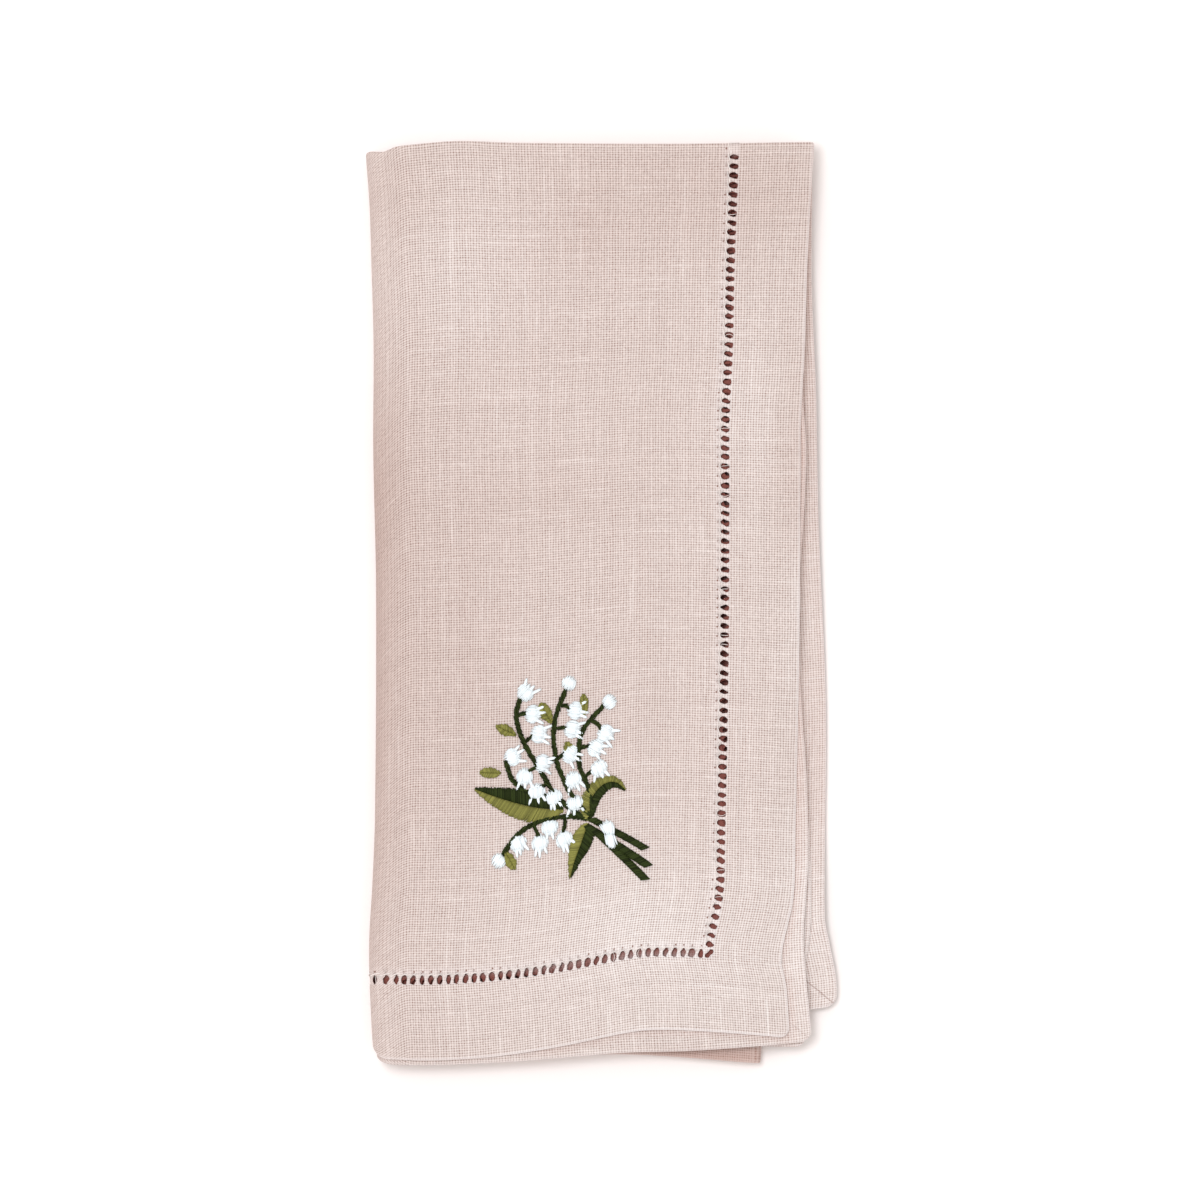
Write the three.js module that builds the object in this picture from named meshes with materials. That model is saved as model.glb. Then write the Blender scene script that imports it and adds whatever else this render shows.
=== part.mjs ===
// A linen dinner napkin with a wide hem and a drawn-thread border, folded to eight layers and lying flat.
// Millimetres. +X runs across the folded napkin, +Y up its length to the top fold, and +Z up.
// The origin is the centre of the footprint, on the surface that the napkin lies on.
//
// The square is folded three times: top half behind the bottom half, then the left half behind the right
// half at the centre fold, then the doubled strip once more at the left fold. One sheet, one solid.

import * as THREE from 'three';

// The cloth before it is folded.
const NAPKIN_SIDE = 508;
const HALF_SIDE = NAPKIN_SIDE / 2;
const QUARTER_SIDE = NAPKIN_SIDE / 4;
const CLOTH = 1.0;
const HEM_WIDTH = 22.3;
const HEM_EXTRA = 0.15;
const BORDER_WIDTH = 2.8;
const BORDER_DEPTH = 0.3;

// The stack: layer to layer distance in the plain cloth, what the hems add to it, and its soft unevenness.
const PITCH = 1.35;
const HEM_PITCH = 0.2;
const HEAVE_PITCH = 0.09;
const HEM_STACK_Y = { from: -55, to: -95 };
const HEM_STACK_X = { from: 25, to: 34 };

// Levels count pitches up from the surface: layer middles lie at 0.5 to 7.5, the innermost fold at 4.
const LOWEST_LEVEL = 0.5;
const INNERMOST_LEVEL = 4;
const TOP_LEVEL = 7.5;

// The four open layers at the right edge sink where the four below them have ended.
const DROOP = 4.2;
const DROOP_REACH = 26;

// The right hem of the top layer stands up a little along its middle, and the one below follows it by half.
const HEM_LIFT = 0.9;
const HEM_LIFT_LEVEL = 5.5;
const HEM_LIFT_Y = { low: -45, middle: 0, high: 75 };

// Rounding of the open hem corners, and of the lower end of the left fold with its reach up the cloth.
const OPEN_CORNER = 2.4;
const FOLD_CORNER = 4.0;
const FOLD_CORNER_REACH = 11;

// Grid: distances from a hemmed edge at which the cloth has a line of points, then even steps.
const BORDER_LINES = [HEM_WIDTH - BORDER_WIDTH / 2, HEM_WIDTH, HEM_WIDTH + BORDER_WIDTH / 2];
const SIDE_HEM_LINES = [0, 2.4, 6.5, 11, 16, ...BORDER_LINES];
const END_HEM_LINES = [0, 2.4, 11, ...BORDER_LINES];
const HEM_END = HALF_SIDE - HEM_WIDTH - BORDER_WIDTH / 2;
const OPEN_STEPS = 6;
const INNER_STEPS = 6;
const LENGTH_STEPS = 12;
const OUTER_FOLD_STEPS = 8;
const CENTRE_FOLD_STEPS = 6;
const INNER_FOLD_STEPS = 6;
const TOP_FOLD_STEPS = 6;

// Where along each end of the napkin its left fold, centre fold, top right edge and back right edge meet it.
const CORNER_X = { left: -66, centre: 48, front: 56, back: 62 };

// Length of the two short steps that a normal is worked out from.
const NORMAL_STEP = 0.01;

// The outline as the folded napkin lies, seen from above. Each table is one edge, as places along it.
const LEFT_FOLD = [
  { y: 129.4, x: -67.0 },
  { y: 101.0, x: -66.2 },
  { y: 75.0, x: -65.5 },
  { y: 45.0, x: -65.6 },
  { y: 5.0, x: -64.8 },
  { y: -60.0, x: -65.1 },
  { y: -79.0, x: -65.8 },
  { y: -99.0, x: -66.8 },
  { y: -131.0, x: -65.6 },
];
const CENTRE_FOLD = [
  { y: 131.0, x: 57.0 },
  { y: 0.0, x: 52.0 },
  { y: -132.0, x: 45.6 },
];

// Right edges of the four open layers, from the top layer down.
const RIGHT_EDGES = [
  [
    { y: 131.5, x: 60.4 },
    { y: 96.0, x: 58.5 },
    { y: 73.0, x: 57.8 },
    { y: 53.0, x: 56.7 },
    { y: 38.0, x: 56.6 },
    { y: -17.0, x: 56.2 },
    { y: -68.0, x: 55.1 },
    { y: -84.0, x: 54.6 },
    { y: -101.5, x: 51.1 },
    { y: -110.0, x: 52.6 },
    { y: -124.0, x: 53.5 },
  ],
  [
    { y: 131.5, x: 60.4 },
    { y: 64.0, x: 58.5 },
    { y: -28.0, x: 58.0 },
    { y: -96.0, x: 57.4 },
    { y: -108.0, x: 58.2 },
    { y: -125.0, x: 59.8 },
  ],
  [
    { y: 131.0, x: 60.0 },
    { y: 64.0, x: 59.4 },
    { y: -94.0, x: 59.5 },
    { y: -106.0, x: 58.0 },
    { y: -127.0, x: 58.3 },
  ],
  [
    { y: 131.0, x: 60.0 },
    { y: 64.0, x: 61.3 },
    { y: 24.0, x: 61.8 },
    { y: -32.0, x: 64.1 },
    { y: -90.0, x: 63.6 },
    { y: -98.0, x: 65.0 },
    { y: -109.0, x: 67.0 },
    { y: -116.0, x: 67.0 },
  ],
];

// Top folds and bottom edges of the two open pairs of layers and of the two folded pairs between them.
// a is the bottom of the half of the cloth that has the top layer, and b that of the half behind it.
const END_EDGES = {
  front: {
    top: [
      { x: -67.0, y: 129.9 },
      { x: -62.5, y: 129.1 },
      { x: -60.0, y: 130.4 },
      { x: -52.0, y: 131.4 },
      { x: -41.0, y: 132.2 },
      { x: -25.5, y: 131.7 },
      { x: 20.5, y: 131.4 },
      { x: 60.5, y: 131.9 },
    ],
    a: [
      { x: -66.0, y: -130.2 },
      { x: -50.0, y: -130.8 },
      { x: -32.0, y: -129.8 },
      { x: -13.0, y: -127.0 },
      { x: 8.0, y: -122.7 },
      { x: 17.0, y: -122.0 },
      { x: 34.5, y: -122.8 },
      { x: 53.5, y: -124.4 },
    ],
    b: [
      { x: -66.0, y: -131.8 },
      { x: -50.0, y: -132.2 },
      { x: -23.5, y: -131.0 },
      { x: 5.0, y: -128.7 },
      { x: 25.0, y: -128.1 },
      { x: 46.5, y: -126.6 },
      { x: 60.0, y: -125.4 },
    ],
  },
  strip: {
    top: [
      { x: -67.0, y: 128.3 },
      { x: -58.0, y: 128.4 },
      { x: -45.0, y: 130.9 },
      { x: 20.5, y: 130.6 },
      { x: 60.5, y: 131.0 },
    ],
    a: [
      { x: -66.0, y: -131.6 },
      { x: -30.0, y: -131.4 },
      { x: 5.0, y: -129.4 },
      { x: 46.0, y: -132.1 },
    ],
    b: [
      { x: -66.0, y: -131.0 },
      { x: -30.0, y: -130.8 },
      { x: 5.0, y: -128.8 },
      { x: 46.0, y: -131.3 },
    ],
  },
  back: {
    top: [
      { x: -67.0, y: 128.3 },
      { x: -58.0, y: 128.4 },
      { x: -45.0, y: 130.4 },
      { x: 20.5, y: 130.2 },
      { x: 62.0, y: 130.6 },
    ],
    a: [
      { x: -66.0, y: -130.5 },
      { x: -30.0, y: -128.5 },
      { x: 0.0, y: -125.0 },
      { x: 46.0, y: -118.3 },
      { x: 67.0, y: -115.7 },
    ],
    b: [
      { x: -66.0, y: -131.0 },
      { x: -30.0, y: -130.4 },
      { x: 0.0, y: -127.6 },
      { x: 30.0, y: -126.7 },
      { x: 58.0, y: -127.2 },
    ],
  },
};

// Soft heaves of the whole stack: height share, centre and reach of each.
const HEAVES = [
  { share: 1.0, x: -30, y: 78, reachX: 46, reachY: 34 },
  { share: 0.8, x: 18, y: 38, reachX: 34, reachY: 42 },
  { share: 0.9, x: -6, y: -52, reachX: 50, reachY: 30 },
  { share: 0.7, x: 26, y: -92, reachX: 26, reachY: 24 },
];

const lerp = THREE.MathUtils.lerp;
const clamp = THREE.MathUtils.clamp;

// A share from 0 to 1 that eases from one place to another, in either direction.
function ease(place, from, to) {
  const share = clamp((place - from) / (to - from), 0, 1);
  return share * share * (3 - 2 * share);
}

// A smooth curve through the rows of a table, as a function of one of its columns.
function curveThrough(table, along, across) {
  const rows = [...table].sort((one, other) => one[along] - other[along]);
  const slopes = rows.map((row, i) => {
    const before = rows[Math.max(i - 1, 0)];
    const after = rows[Math.min(i + 1, rows.length - 1)];
    return (after[across] - before[across]) / (after[along] - before[along]);
  });
  return (place) => {
    const inside = clamp(place, rows[0][along], rows[rows.length - 1][along]);
    const found = rows.findIndex((row) => row[along] >= inside);
    const i = Math.max(found, 1);
    const start = rows[i - 1];
    const end = rows[i];
    const span = end[along] - start[along];
    const t = (inside - start[along]) / span;
    const bend = t * t * (3 - 2 * t);
    return lerp(start[across], end[across], bend)
      + span * t * (1 - t) * (slopes[i - 1] * (1 - t) - slopes[i] * t);
  };
}

const leftFold = curveThrough(LEFT_FOLD, 'y', 'x');
const centreFold = curveThrough(CENTRE_FOLD, 'y', 'x');
const rightEdges = RIGHT_EDGES.map((table) => curveThrough(table, 'y', 'x'));
const endEdges = {};
for (const [name, tables] of Object.entries(END_EDGES)) {
  endEdges[name] = {
    top: curveThrough(tables.top, 'x', 'y'),
    a: curveThrough(tables.a, 'x', 'y'),
    b: curveThrough(tables.b, 'x', 'y'),
  };
}

// How far an edge is drawn back by a quarter circle, at a distance from the side that the circle meets.
function quarterCircle(distance, radius) {
  const inside = clamp(radius - distance, 0, radius);
  return radius - Math.sqrt(radius * radius - inside * inside);
}

// Share of the soft unevenness at a place.
function heave(x, y) {
  let height = 0;
  for (const hill of HEAVES) {
    const dx = (x - hill.x) / hill.reachX;
    const dy = (y - hill.y) / hill.reachY;
    height += hill.share * Math.exp(-dx * dx - dy * dy);
  }
  return height;
}

// Layer to layer distance, before the right hem's own thickness.
function pitchAt(x, y) {
  return PITCH
    + HEM_PITCH * ease(y, HEM_STACK_Y.from, HEM_STACK_Y.to)
    + HEAVE_PITCH * heave(x, y);
}

// Height of the middle of the cloth at a level of the stack. Only the open layers feel the right hem's terms.
function heightAt(level, x, y) {
  const height = CLOTH / 2 + (level - LOWEST_LEVEL) * pitchAt(x, y);
  if (level <= INNERMOST_LEVEL) {
    return height;
  }
  const hemShare = ease(x, HEM_STACK_X.from, HEM_STACK_X.to) * (1 - ease(y, HEM_STACK_Y.from, HEM_STACK_Y.to));
  const hemStack = (level - INNERMOST_LEVEL) * HEM_PITCH * hemShare;
  const droop = DROOP * ease(x, centreFold(y), centreFold(y) + DROOP_REACH);
  const lift = HEM_LIFT
    * ease(level, HEM_LIFT_LEVEL, TOP_LEVEL)
    * ease(x, HEM_STACK_X.to, HEM_STACK_X.to + HEM_WIDTH)
    * ease(y, HEM_LIFT_Y.low, HEM_LIFT_Y.middle)
    * ease(y, HEM_LIFT_Y.high, HEM_LIFT_Y.middle);
  return height + hemStack - droop + lift;
}

// Flat lengths of cloth taken up by the folds, and where the flat stretches between them start and end.
const OUTER_FOLD = Math.PI * 3 * PITCH;
const SMALL_FOLD = Math.PI * PITCH;
const TOP_FOLD_HALF = Math.PI * PITCH / 4;

const STRETCHES = [
  { kind: 'flat', name: 'front', from: HALF_SIDE, to: QUARTER_SIDE + OUTER_FOLD / 2 },
  { kind: 'left', name: 'outer', from: QUARTER_SIDE + OUTER_FOLD / 2, to: QUARTER_SIDE - OUTER_FOLD / 2 },
  { kind: 'flat', name: 'under', from: QUARTER_SIDE - OUTER_FOLD / 2, to: SMALL_FOLD / 2 },
  { kind: 'centre', name: 'centre', from: SMALL_FOLD / 2, to: -SMALL_FOLD / 2 },
  { kind: 'flat', name: 'inner', from: -SMALL_FOLD / 2, to: -QUARTER_SIDE + SMALL_FOLD / 2 },
  { kind: 'left', name: 'nested', from: -QUARTER_SIDE + SMALL_FOLD / 2, to: -QUARTER_SIDE - SMALL_FOLD / 2 },
  { kind: 'flat', name: 'back', from: -QUARTER_SIDE - SMALL_FOLD / 2, to: -HALF_SIDE },
];

// Level of each flat stretch: side is +1 on the front half of the cloth and -1 on the back half.
const LEVEL_OF = {
  front: (side) => 7 + side / 2,
  under: (side) => 1 - side / 2,
  inner: (side) => 3 + side / 2,
  back: (side) => 5 - side / 2,
};

// The flat stretches that each fold joins.
const FOLD_JOINS = {
  outer: ['front', 'under'],
  centre: ['under', 'inner'],
  nested: ['inner', 'back'],
};

// Half the distance between the two layers that the top fold joins, at a place in a stretch.
function topFoldRadius(name, x, y) {
  const level = LEVEL_OF[name];
  return Math.abs(heightAt(level(1), x, y) - heightAt(level(-1), x, y)) / 2;
}

// The free or folded edges that a row of the cloth reaches, at its own height up the napkin.
function rowEdges(run, isFront) {
  const half = isFront ? 'a' : 'b';
  const rowY = (x, pair) => lerp(endEdges[pair].top(x), endEdges[pair][half](x), run);
  return {
    left: leftFold(rowY(CORNER_X.left, 'front')),
    centre: centreFold(rowY(CORNER_X.centre, 'strip')),
    front: rightEdges[isFront ? 0 : 1](rowY(CORNER_X.front, 'front')),
    back: rightEdges[isFront ? 3 : 2](rowY(CORNER_X.back, 'back')),
  };
}

// An end of the cloth in a stretch, at its top fold or at a bottom edge, blended round the left fold.
function endAt(end, stretch, share, x) {
  const strip = endEdges.strip[end](x);
  if (stretch.name === 'front' || stretch.name === 'back') {
    return endEdges[stretch.name][end](x);
  }
  if (stretch.name === 'outer') {
    return lerp(endEdges.front[end](x), strip, share);
  }
  if (stretch.name === 'nested') {
    return lerp(strip, endEdges.back[end](x), share);
  }
  return strip;
}

// How far the round lower end of the left fold has lifted a point near the bottom of the cloth.
function foldCornerLift(fromFold, fromHem) {
  const nearness = Math.max(1 - fromHem / FOLD_CORNER_REACH, 0) ** 2;
  return quarterCircle(fromFold, FOLD_CORNER) * nearness;
}

// Shift of a point in the square of an open corner that turns the square's corner into a quarter circle.
function openCornerShift(fromSide, fromHem) {
  const side = 1 - clamp(fromSide / OPEN_CORNER, 0, 1);
  const end = 1 - clamp(fromHem / OPEN_CORNER, 0, 1);
  return {
    inward: OPEN_CORNER * side * (1 - Math.sqrt(1 - (end * end) / 2)),
    upward: OPEN_CORNER * end * (1 - Math.sqrt(1 - (side * side) / 2)),
  };
}

// A point of the middle of the cloth, from its place on the flat napkin seen from the right side.
// u runs from the left hem to the right hem, v from the bottom hem to the top hem, both from the centre.
function foldedPoint(u, v, hasRoundCorners = true) {
  const turn = clamp(v / TOP_FOLD_HALF, -1, 1) * Math.PI / 2;
  const side = -Math.sin(turn);
  const isFront = v <= 0;
  const run = Math.max(Math.abs(v) - TOP_FOLD_HALF, 0) / (HALF_SIDE - TOP_FOLD_HALF);
  const edges = rowEdges(run, isFront);
  const stretch = STRETCHES.find((one) => u >= one.to) ?? STRETCHES[STRETCHES.length - 1];
  const share = (stretch.from - u) / (stretch.from - stretch.to);

  const rowY = lerp(endEdges.strip.top(edges.left), endEdges.strip.a(edges.left), run);
  const leftPitch = pitchAt(edges.left, rowY);
  const leftCentre = edges.left + CLOTH / 2 + 3.5 * leftPitch;
  const centrePitch = pitchAt(edges.centre, rowY);
  const rightCentre = edges.centre - CLOTH / 2 - 1.5 * centrePitch;

  const angle = Math.PI * share;
  const isFlat = stretch.kind === 'flat';
  let x;
  if (isFlat) {
    const rightEnd = stretch.name in edges ? edges[stretch.name] : rightCentre;
    const goesLeft = stretch.name === 'front' || stretch.name === 'inner';
    x = goesLeft ? lerp(rightEnd, leftCentre, share) : lerp(leftCentre, rightEnd, share);
  } else if (stretch.kind === 'left') {
    const radius = stretch.name === 'outer' ? 3 + side / 2 : 1 - side / 2;
    x = leftCentre - radius * leftPitch * Math.sin(angle);
  } else {
    x = rightCentre + (1 + side / 2) * centrePitch * Math.sin(angle);
  }

  const foldX = stretch.kind === 'left' ? leftCentre : rightCentre;
  const [before, after] = isFlat ? [stretch.name, stretch.name] : FOLD_JOINS[stretch.name];
  const foldRadius = topFoldRadius(before, isFlat ? x : foldX, rowY);
  const foldY = endAt('top', stretch, share, x) - CLOTH / 2 - foldRadius;
  let y = foldY + foldRadius * Math.cos(turn);
  if (run > 0) {
    y = lerp(foldY, endAt(isFront ? 'a' : 'b', stretch, share, x), run);
  }
  if (hasRoundCorners) {
    const fromHem = HALF_SIDE - Math.abs(v);
    y += foldCornerLift(x - edges.left, fromHem);
    const shift = openCornerShift(HALF_SIDE - Math.abs(u), fromHem);
    x -= shift.inward;
    y += shift.upward;
  }

  if (isFlat) {
    return new THREE.Vector3(x, y, heightAt(LEVEL_OF[stretch.name](side), x, y));
  }
  const start = heightAt(LEVEL_OF[before](side), foldX, y);
  const end = heightAt(LEVEL_OF[after](side), foldX, y);
  const z = (start + end) / 2 + ((start - end) / 2) * Math.cos(angle);
  return new THREE.Vector3(x, y, z);
}

// Unit vector out of the right side of the cloth, from two short steps along it.
function rightSide(u, v) {
  const uLow = Math.max(u - NORMAL_STEP, -HALF_SIDE);
  const uHigh = Math.min(u + NORMAL_STEP, HALF_SIDE);
  const vLow = Math.max(v - NORMAL_STEP, -HALF_SIDE);
  const vHigh = Math.min(v + NORMAL_STEP, HALF_SIDE);
  const acrossStep = foldedPoint(uHigh, v, false).sub(foldedPoint(uLow, v, false));
  const upStep = foldedPoint(u, vHigh, false).sub(foldedPoint(u, vLow, false));
  return acrossStep.cross(upStep).normalize();
}

// Distance from the middle of the cloth to each of its faces, with the hem turned to the reverse.
function halfThickness(u, v) {
  const fromEdge = HALF_SIDE - Math.max(Math.abs(u), Math.abs(v));
  const inHem = 1 - ease(fromEdge, HEM_WIDTH - BORDER_WIDTH / 2, HEM_WIDTH);
  const reach = Math.abs(fromEdge - HEM_WIDTH) / (BORDER_WIDTH / 2);
  const groove = BORDER_DEPTH * Math.max(1 - reach, 0);
  return {
    right: CLOTH / 2 - groove,
    reverse: CLOTH / 2 - groove / 2 + HEM_EXTRA * inHem,
  };
}

function evenSteps(from, to, count) {
  return Array.from({ length: count }, (_, i) => lerp(from, to, (i + 1) / count));
}

// Columns of points across the flat cloth, from the right hem to the left hem.
function clothColumns() {
  const stepsOf = {
    front: OPEN_STEPS,
    outer: OUTER_FOLD_STEPS,
    under: INNER_STEPS,
    centre: CENTRE_FOLD_STEPS,
    inner: INNER_STEPS,
    nested: INNER_FOLD_STEPS,
    back: OPEN_STEPS,
  };
  const columns = SIDE_HEM_LINES.map((distance) => HALF_SIDE - distance);
  for (const stretch of STRETCHES) {
    const from = stretch.name === 'front' ? HEM_END : stretch.from;
    const to = stretch.name === 'back' ? -HEM_END : stretch.to;
    columns.push(...evenSteps(from, to, stepsOf[stretch.name]));
  }
  const leftHem = [...SIDE_HEM_LINES].reverse().slice(1);
  columns.push(...leftHem.map((distance) => distance - HALF_SIDE));
  return columns.reverse();
}

// Rows of points up the flat cloth, from the bottom hem over the top fold to the top hem.
function clothRows() {
  const rows = END_HEM_LINES.map((distance) => distance - HALF_SIDE);
  rows.push(...evenSteps(-HEM_END, -TOP_FOLD_HALF, LENGTH_STEPS));
  rows.push(...evenSteps(-TOP_FOLD_HALF, TOP_FOLD_HALF, TOP_FOLD_STEPS));
  rows.push(...evenSteps(TOP_FOLD_HALF, HEM_END, LENGTH_STEPS));
  const topHem = [...END_HEM_LINES].reverse().slice(1);
  rows.push(...topHem.map((distance) => HALF_SIDE - distance));
  return rows;
}

// The closed sheet: its right side, its reverse, and a rim that joins them along the four hemmed edges.
function foldedSheet() {
  const columns = clothColumns();
  const rows = clothRows();
  const positions = [];
  for (const face of ['right', 'reverse']) {
    for (const v of rows) {
      for (const u of columns) {
        const reach = halfThickness(u, v)[face] * (face === 'right' ? 1 : -1);
        const point = foldedPoint(u, v).addScaledVector(rightSide(u, v), reach);
        positions.push(point.x, point.y, Math.max(point.z, 0));
      }
    }
  }

  const width = columns.length;
  const height = rows.length;
  const rightCorner = (i, j) => j * width + i;
  const reverseCorner = (i, j) => width * height + j * width + i;
  const triangles = [];
  for (let j = 0; j < height - 1; j += 1) {
    for (let i = 0; i < width - 1; i += 1) {
      const corners = [[i, j], [i + 1, j], [i + 1, j + 1], [i, j + 1]];
      const right = corners.map(([column, row]) => rightCorner(column, row));
      const reverse = corners.map(([column, row]) => reverseCorner(column, row));
      triangles.push(right[0], right[1], right[2], right[0], right[2], right[3]);
      triangles.push(reverse[0], reverse[2], reverse[1], reverse[0], reverse[3], reverse[2]);
    }
  }

  const rim = [];
  for (let i = 0; i < width - 1; i += 1) rim.push([i, 0]);
  for (let j = 0; j < height - 1; j += 1) rim.push([width - 1, j]);
  for (let i = width - 1; i > 0; i -= 1) rim.push([i, height - 1]);
  for (let j = height - 1; j > 0; j -= 1) rim.push([0, j]);
  rim.forEach(([i, j], n) => {
    const [nextI, nextJ] = rim[(n + 1) % rim.length];
    const right = rightCorner(i, j);
    const rightNext = rightCorner(nextI, nextJ);
    const reverse = reverseCorner(i, j);
    const reverseNext = reverseCorner(nextI, nextJ);
    triangles.push(right, reverse, reverseNext, right, reverseNext, rightNext);
  });

  const geometry = new THREE.BufferGeometry();
  geometry.setAttribute('position', new THREE.Float32BufferAttribute(positions, 3));
  geometry.setIndex(triangles);
  geometry.computeVertexNormals();
  return geometry;
}

const linen = new THREE.MeshStandardMaterial({ color: 0xe0d0c9, roughness: 0.92, metalness: 0 });

const cloth = new THREE.Mesh(foldedSheet(), linen);
cloth.name = 'napkin_cloth';

const napkin = new THREE.Group();
napkin.add(cloth);

export default napkin;
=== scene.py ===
"""A folded linen napkin with a hemstitched border and an embroidered posy, lying on a pale floor.

The cloth is worked out flat, with u across it and v up it, in millimetres from its centre and seen from
its right side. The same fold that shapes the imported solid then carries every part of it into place.
"""

import math
import random

import bpy
import numpy as np
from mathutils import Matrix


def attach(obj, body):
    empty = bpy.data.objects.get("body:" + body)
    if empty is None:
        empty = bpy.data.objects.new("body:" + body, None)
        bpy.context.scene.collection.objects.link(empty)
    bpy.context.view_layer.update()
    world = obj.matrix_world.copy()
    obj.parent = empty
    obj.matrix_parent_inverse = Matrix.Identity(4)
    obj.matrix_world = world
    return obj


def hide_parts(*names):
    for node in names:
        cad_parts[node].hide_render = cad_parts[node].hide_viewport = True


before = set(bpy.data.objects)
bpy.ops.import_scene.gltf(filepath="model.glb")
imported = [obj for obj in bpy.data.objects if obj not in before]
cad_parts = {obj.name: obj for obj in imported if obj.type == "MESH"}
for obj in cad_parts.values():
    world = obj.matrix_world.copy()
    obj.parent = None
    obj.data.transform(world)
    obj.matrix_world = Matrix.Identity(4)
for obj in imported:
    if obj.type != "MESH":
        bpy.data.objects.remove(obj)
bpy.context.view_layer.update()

MM = 0.001
CLOTH_NODE = "napkin_cloth"

# The cloth before it is folded, in millimetres like all lengths below unless a name says metres.
NAPKIN_SIDE = 508.0
HALF_SIDE = NAPKIN_SIDE / 2
QUARTER_SIDE = NAPKIN_SIDE / 4
SOLID_CLOTH = 1.0
LINEN = 0.42
WARP_PITCH = 0.80
WEFT_PITCH = 0.68

# The turned hem: its width, how far its reverse stands off, and its round edge's reach and least thickness.
HEM_WIDTH = 22.3
HEM_REVERSE = 0.67
HEM_ROUND = 0.9
HEM_EDGE = 0.3

# The drawn-thread band inside the hem, and the holes along each of its sides.
BAND_HALF = 1.3
BAND_IN = HALF_SIDE - HEM_WIDTH - BAND_HALF
BAND_OUT = HALF_SIDE - HEM_WIDTH + BAND_HALF
HOLES = 172
HOLE_PITCH = 2 * BAND_IN / HOLES

# Layer to layer distance, what the hems add to it, and its soft unevenness.
PITCH = 1.35
HEM_PITCH = 0.2
HEAVE_PITCH = 0.09
HEM_STACK_Y = (-55, -95)
HEM_STACK_X = (25, 34)
SETTLE = 0.26

# Levels count pitches up from the floor: layer middles lie at 0.5 to 7.5, the innermost fold at 4.
LOWEST_LEVEL = 0.5
INNERMOST_LEVEL = 4
TOP_LEVEL = 7.5

# The four open layers sink past the centre fold, softly in their corner, and the top hem stands up.
DROOP = 4.6
DROOP_REACH = {"up": 14, "corner": 26}
HEM_LIFT = 0.9
HEM_LIFT_LEVEL = 5.5
HEM_LIFT_Y = (-45, 0, 75)

# Round corners: the open ones, and the lower end of the left fold with its reach up the cloth.
OPEN_CORNER = 3.2
FOLD_CORNER = 4.6
FOLD_CORNER_REACH = 12

# Where along each end of the napkin its side edges meet it.
CORNER_X = {"left": -66, "centre": 48, "front": 56, "back": 62}

# Side edges of the folded napkin, each row a y and the x of the edge there.
LEFT_FOLD = [(129.4, -67.7), (116, -66.7), (101, -66.2), (75, -65.5), (45, -65.6), (5, -64.8), (-60, -65.1),
             (-79, -65.8), (-99, -66.8), (-131, -65.6)]
CENTRE_FOLD = [(131, 57.0), (0, 52.0), (-132, 45.6)]
RIGHT_EDGES = {
    "front a": [(131.5, 60.4), (96, 58.5), (73, 57.8), (53, 56.7), (38, 56.6), (-17, 56.2), (-68, 55.1),
                (-84, 54.6), (-101.5, 51.1), (-110, 52.6), (-124, 53.5)],
    "front b": [(131.5, 60.4), (96, 57.9), (64, 57.0), (44, 58.1), (24, 57.3), (1, 55.8), (-28, 56.7),
                (-51, 58.3), (-74, 58.7), (-96, 57.4), (-108, 58.2), (-125, 59.8)],
    "back b": [(131, 60.0), (64, 56.8), (24, 56.6), (1, 55.6), (-28, 56.4), (-51, 58.0), (-74, 59.6),
               (-94, 59.5), (-106, 58.0), (-127, 58.3)],
    "back a": [(131, 60.0), (96, 59.7), (80, 60.2), (62, 61.0), (24, 61.8), (-32, 64.1), (-90, 63.6),
               (-98, 65.0), (-109, 67.0), (-116, 67.0)],
}

# Top folds and bottom edges, each row an x and the y of the edge there. The front and back pairs of layers
# are open at the right, with the strip between them. a has the top layer, and b is the half behind it.
END_EDGES = {
    "front top": [(-67, 129.9), (-62.5, 129.1), (-60, 130.4), (-52, 131.4), (-41, 132.2), (-25.5, 131.7),
                  (20.5, 131.4), (60.5, 131.9)],
    "front a": [(-66, -130.2), (-50, -130.8), (-32, -129.8), (-13, -127.0), (8, -122.7), (17, -122.0),
                (34.5, -122.8), (53.5, -124.4)],
    "front b": [(-66, -131.8), (-50, -132.2), (-23.5, -131.0), (5, -128.7), (25, -128.1), (46.5, -126.6),
                (60, -125.4)],
    "strip top": [(-67, 128.3), (-58, 128.4), (-45, 130.9), (20.5, 130.6), (60.5, 131.0)],
    "strip a": [(-66, -131.6), (-30, -131.4), (5, -129.4), (46, -132.1)],
    "strip b": [(-66, -131.0), (-30, -130.8), (5, -128.8), (46, -131.3)],
    "back top": [(-67, 128.3), (-58, 128.4), (-45, 130.4), (20.5, 130.2), (62, 130.6)],
    "back a": [(-66, -130.5), (-30, -128.5), (0, -125.0), (46, -118.3), (67, -115.7)],
    "back b": [(-66, -131.0), (-30, -130.4), (0, -127.6), (30, -126.7), (58, -127.2)],
}

# Soft heaves of the stack: centre x and y, reach in x and y, height share.
HEAVES = [(-30, 78, 46, 34, 1.0), (18, 38, 34, 42, 0.8), (-6, -52, 50, 30, 0.9), (26, -92, 26, 24, 0.7)]

# Soft creases in the top: start x and y, end x and y, half width, and height (below 0 a trough).
CREASES = [
    (-58, 96, -20, 84, 9, 0.16),
    (-10, 112, 30, 96, 12, -0.26),
    (20, 78, 54, 60, 10, 0.18),
    (-50, 22, -4, 12, 10, -0.20),
    (2, 30, 40, 44, 11, 0.14),
    (-46, -14, 10, -22, 9, 0.14),
    (8, -4, 50, -10, 10, -0.14),
    (-60, -64, -30, -84, 9, -0.16),
    (-4, -98, 34, -90, 10, 0.22),
    (-44, -104, -12, -114, 8, 0.16),
    (28, -108, 50, -96, 7, -0.12),
]
CREASE_TOP = 9.0
CREASE_END = 1.6

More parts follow.
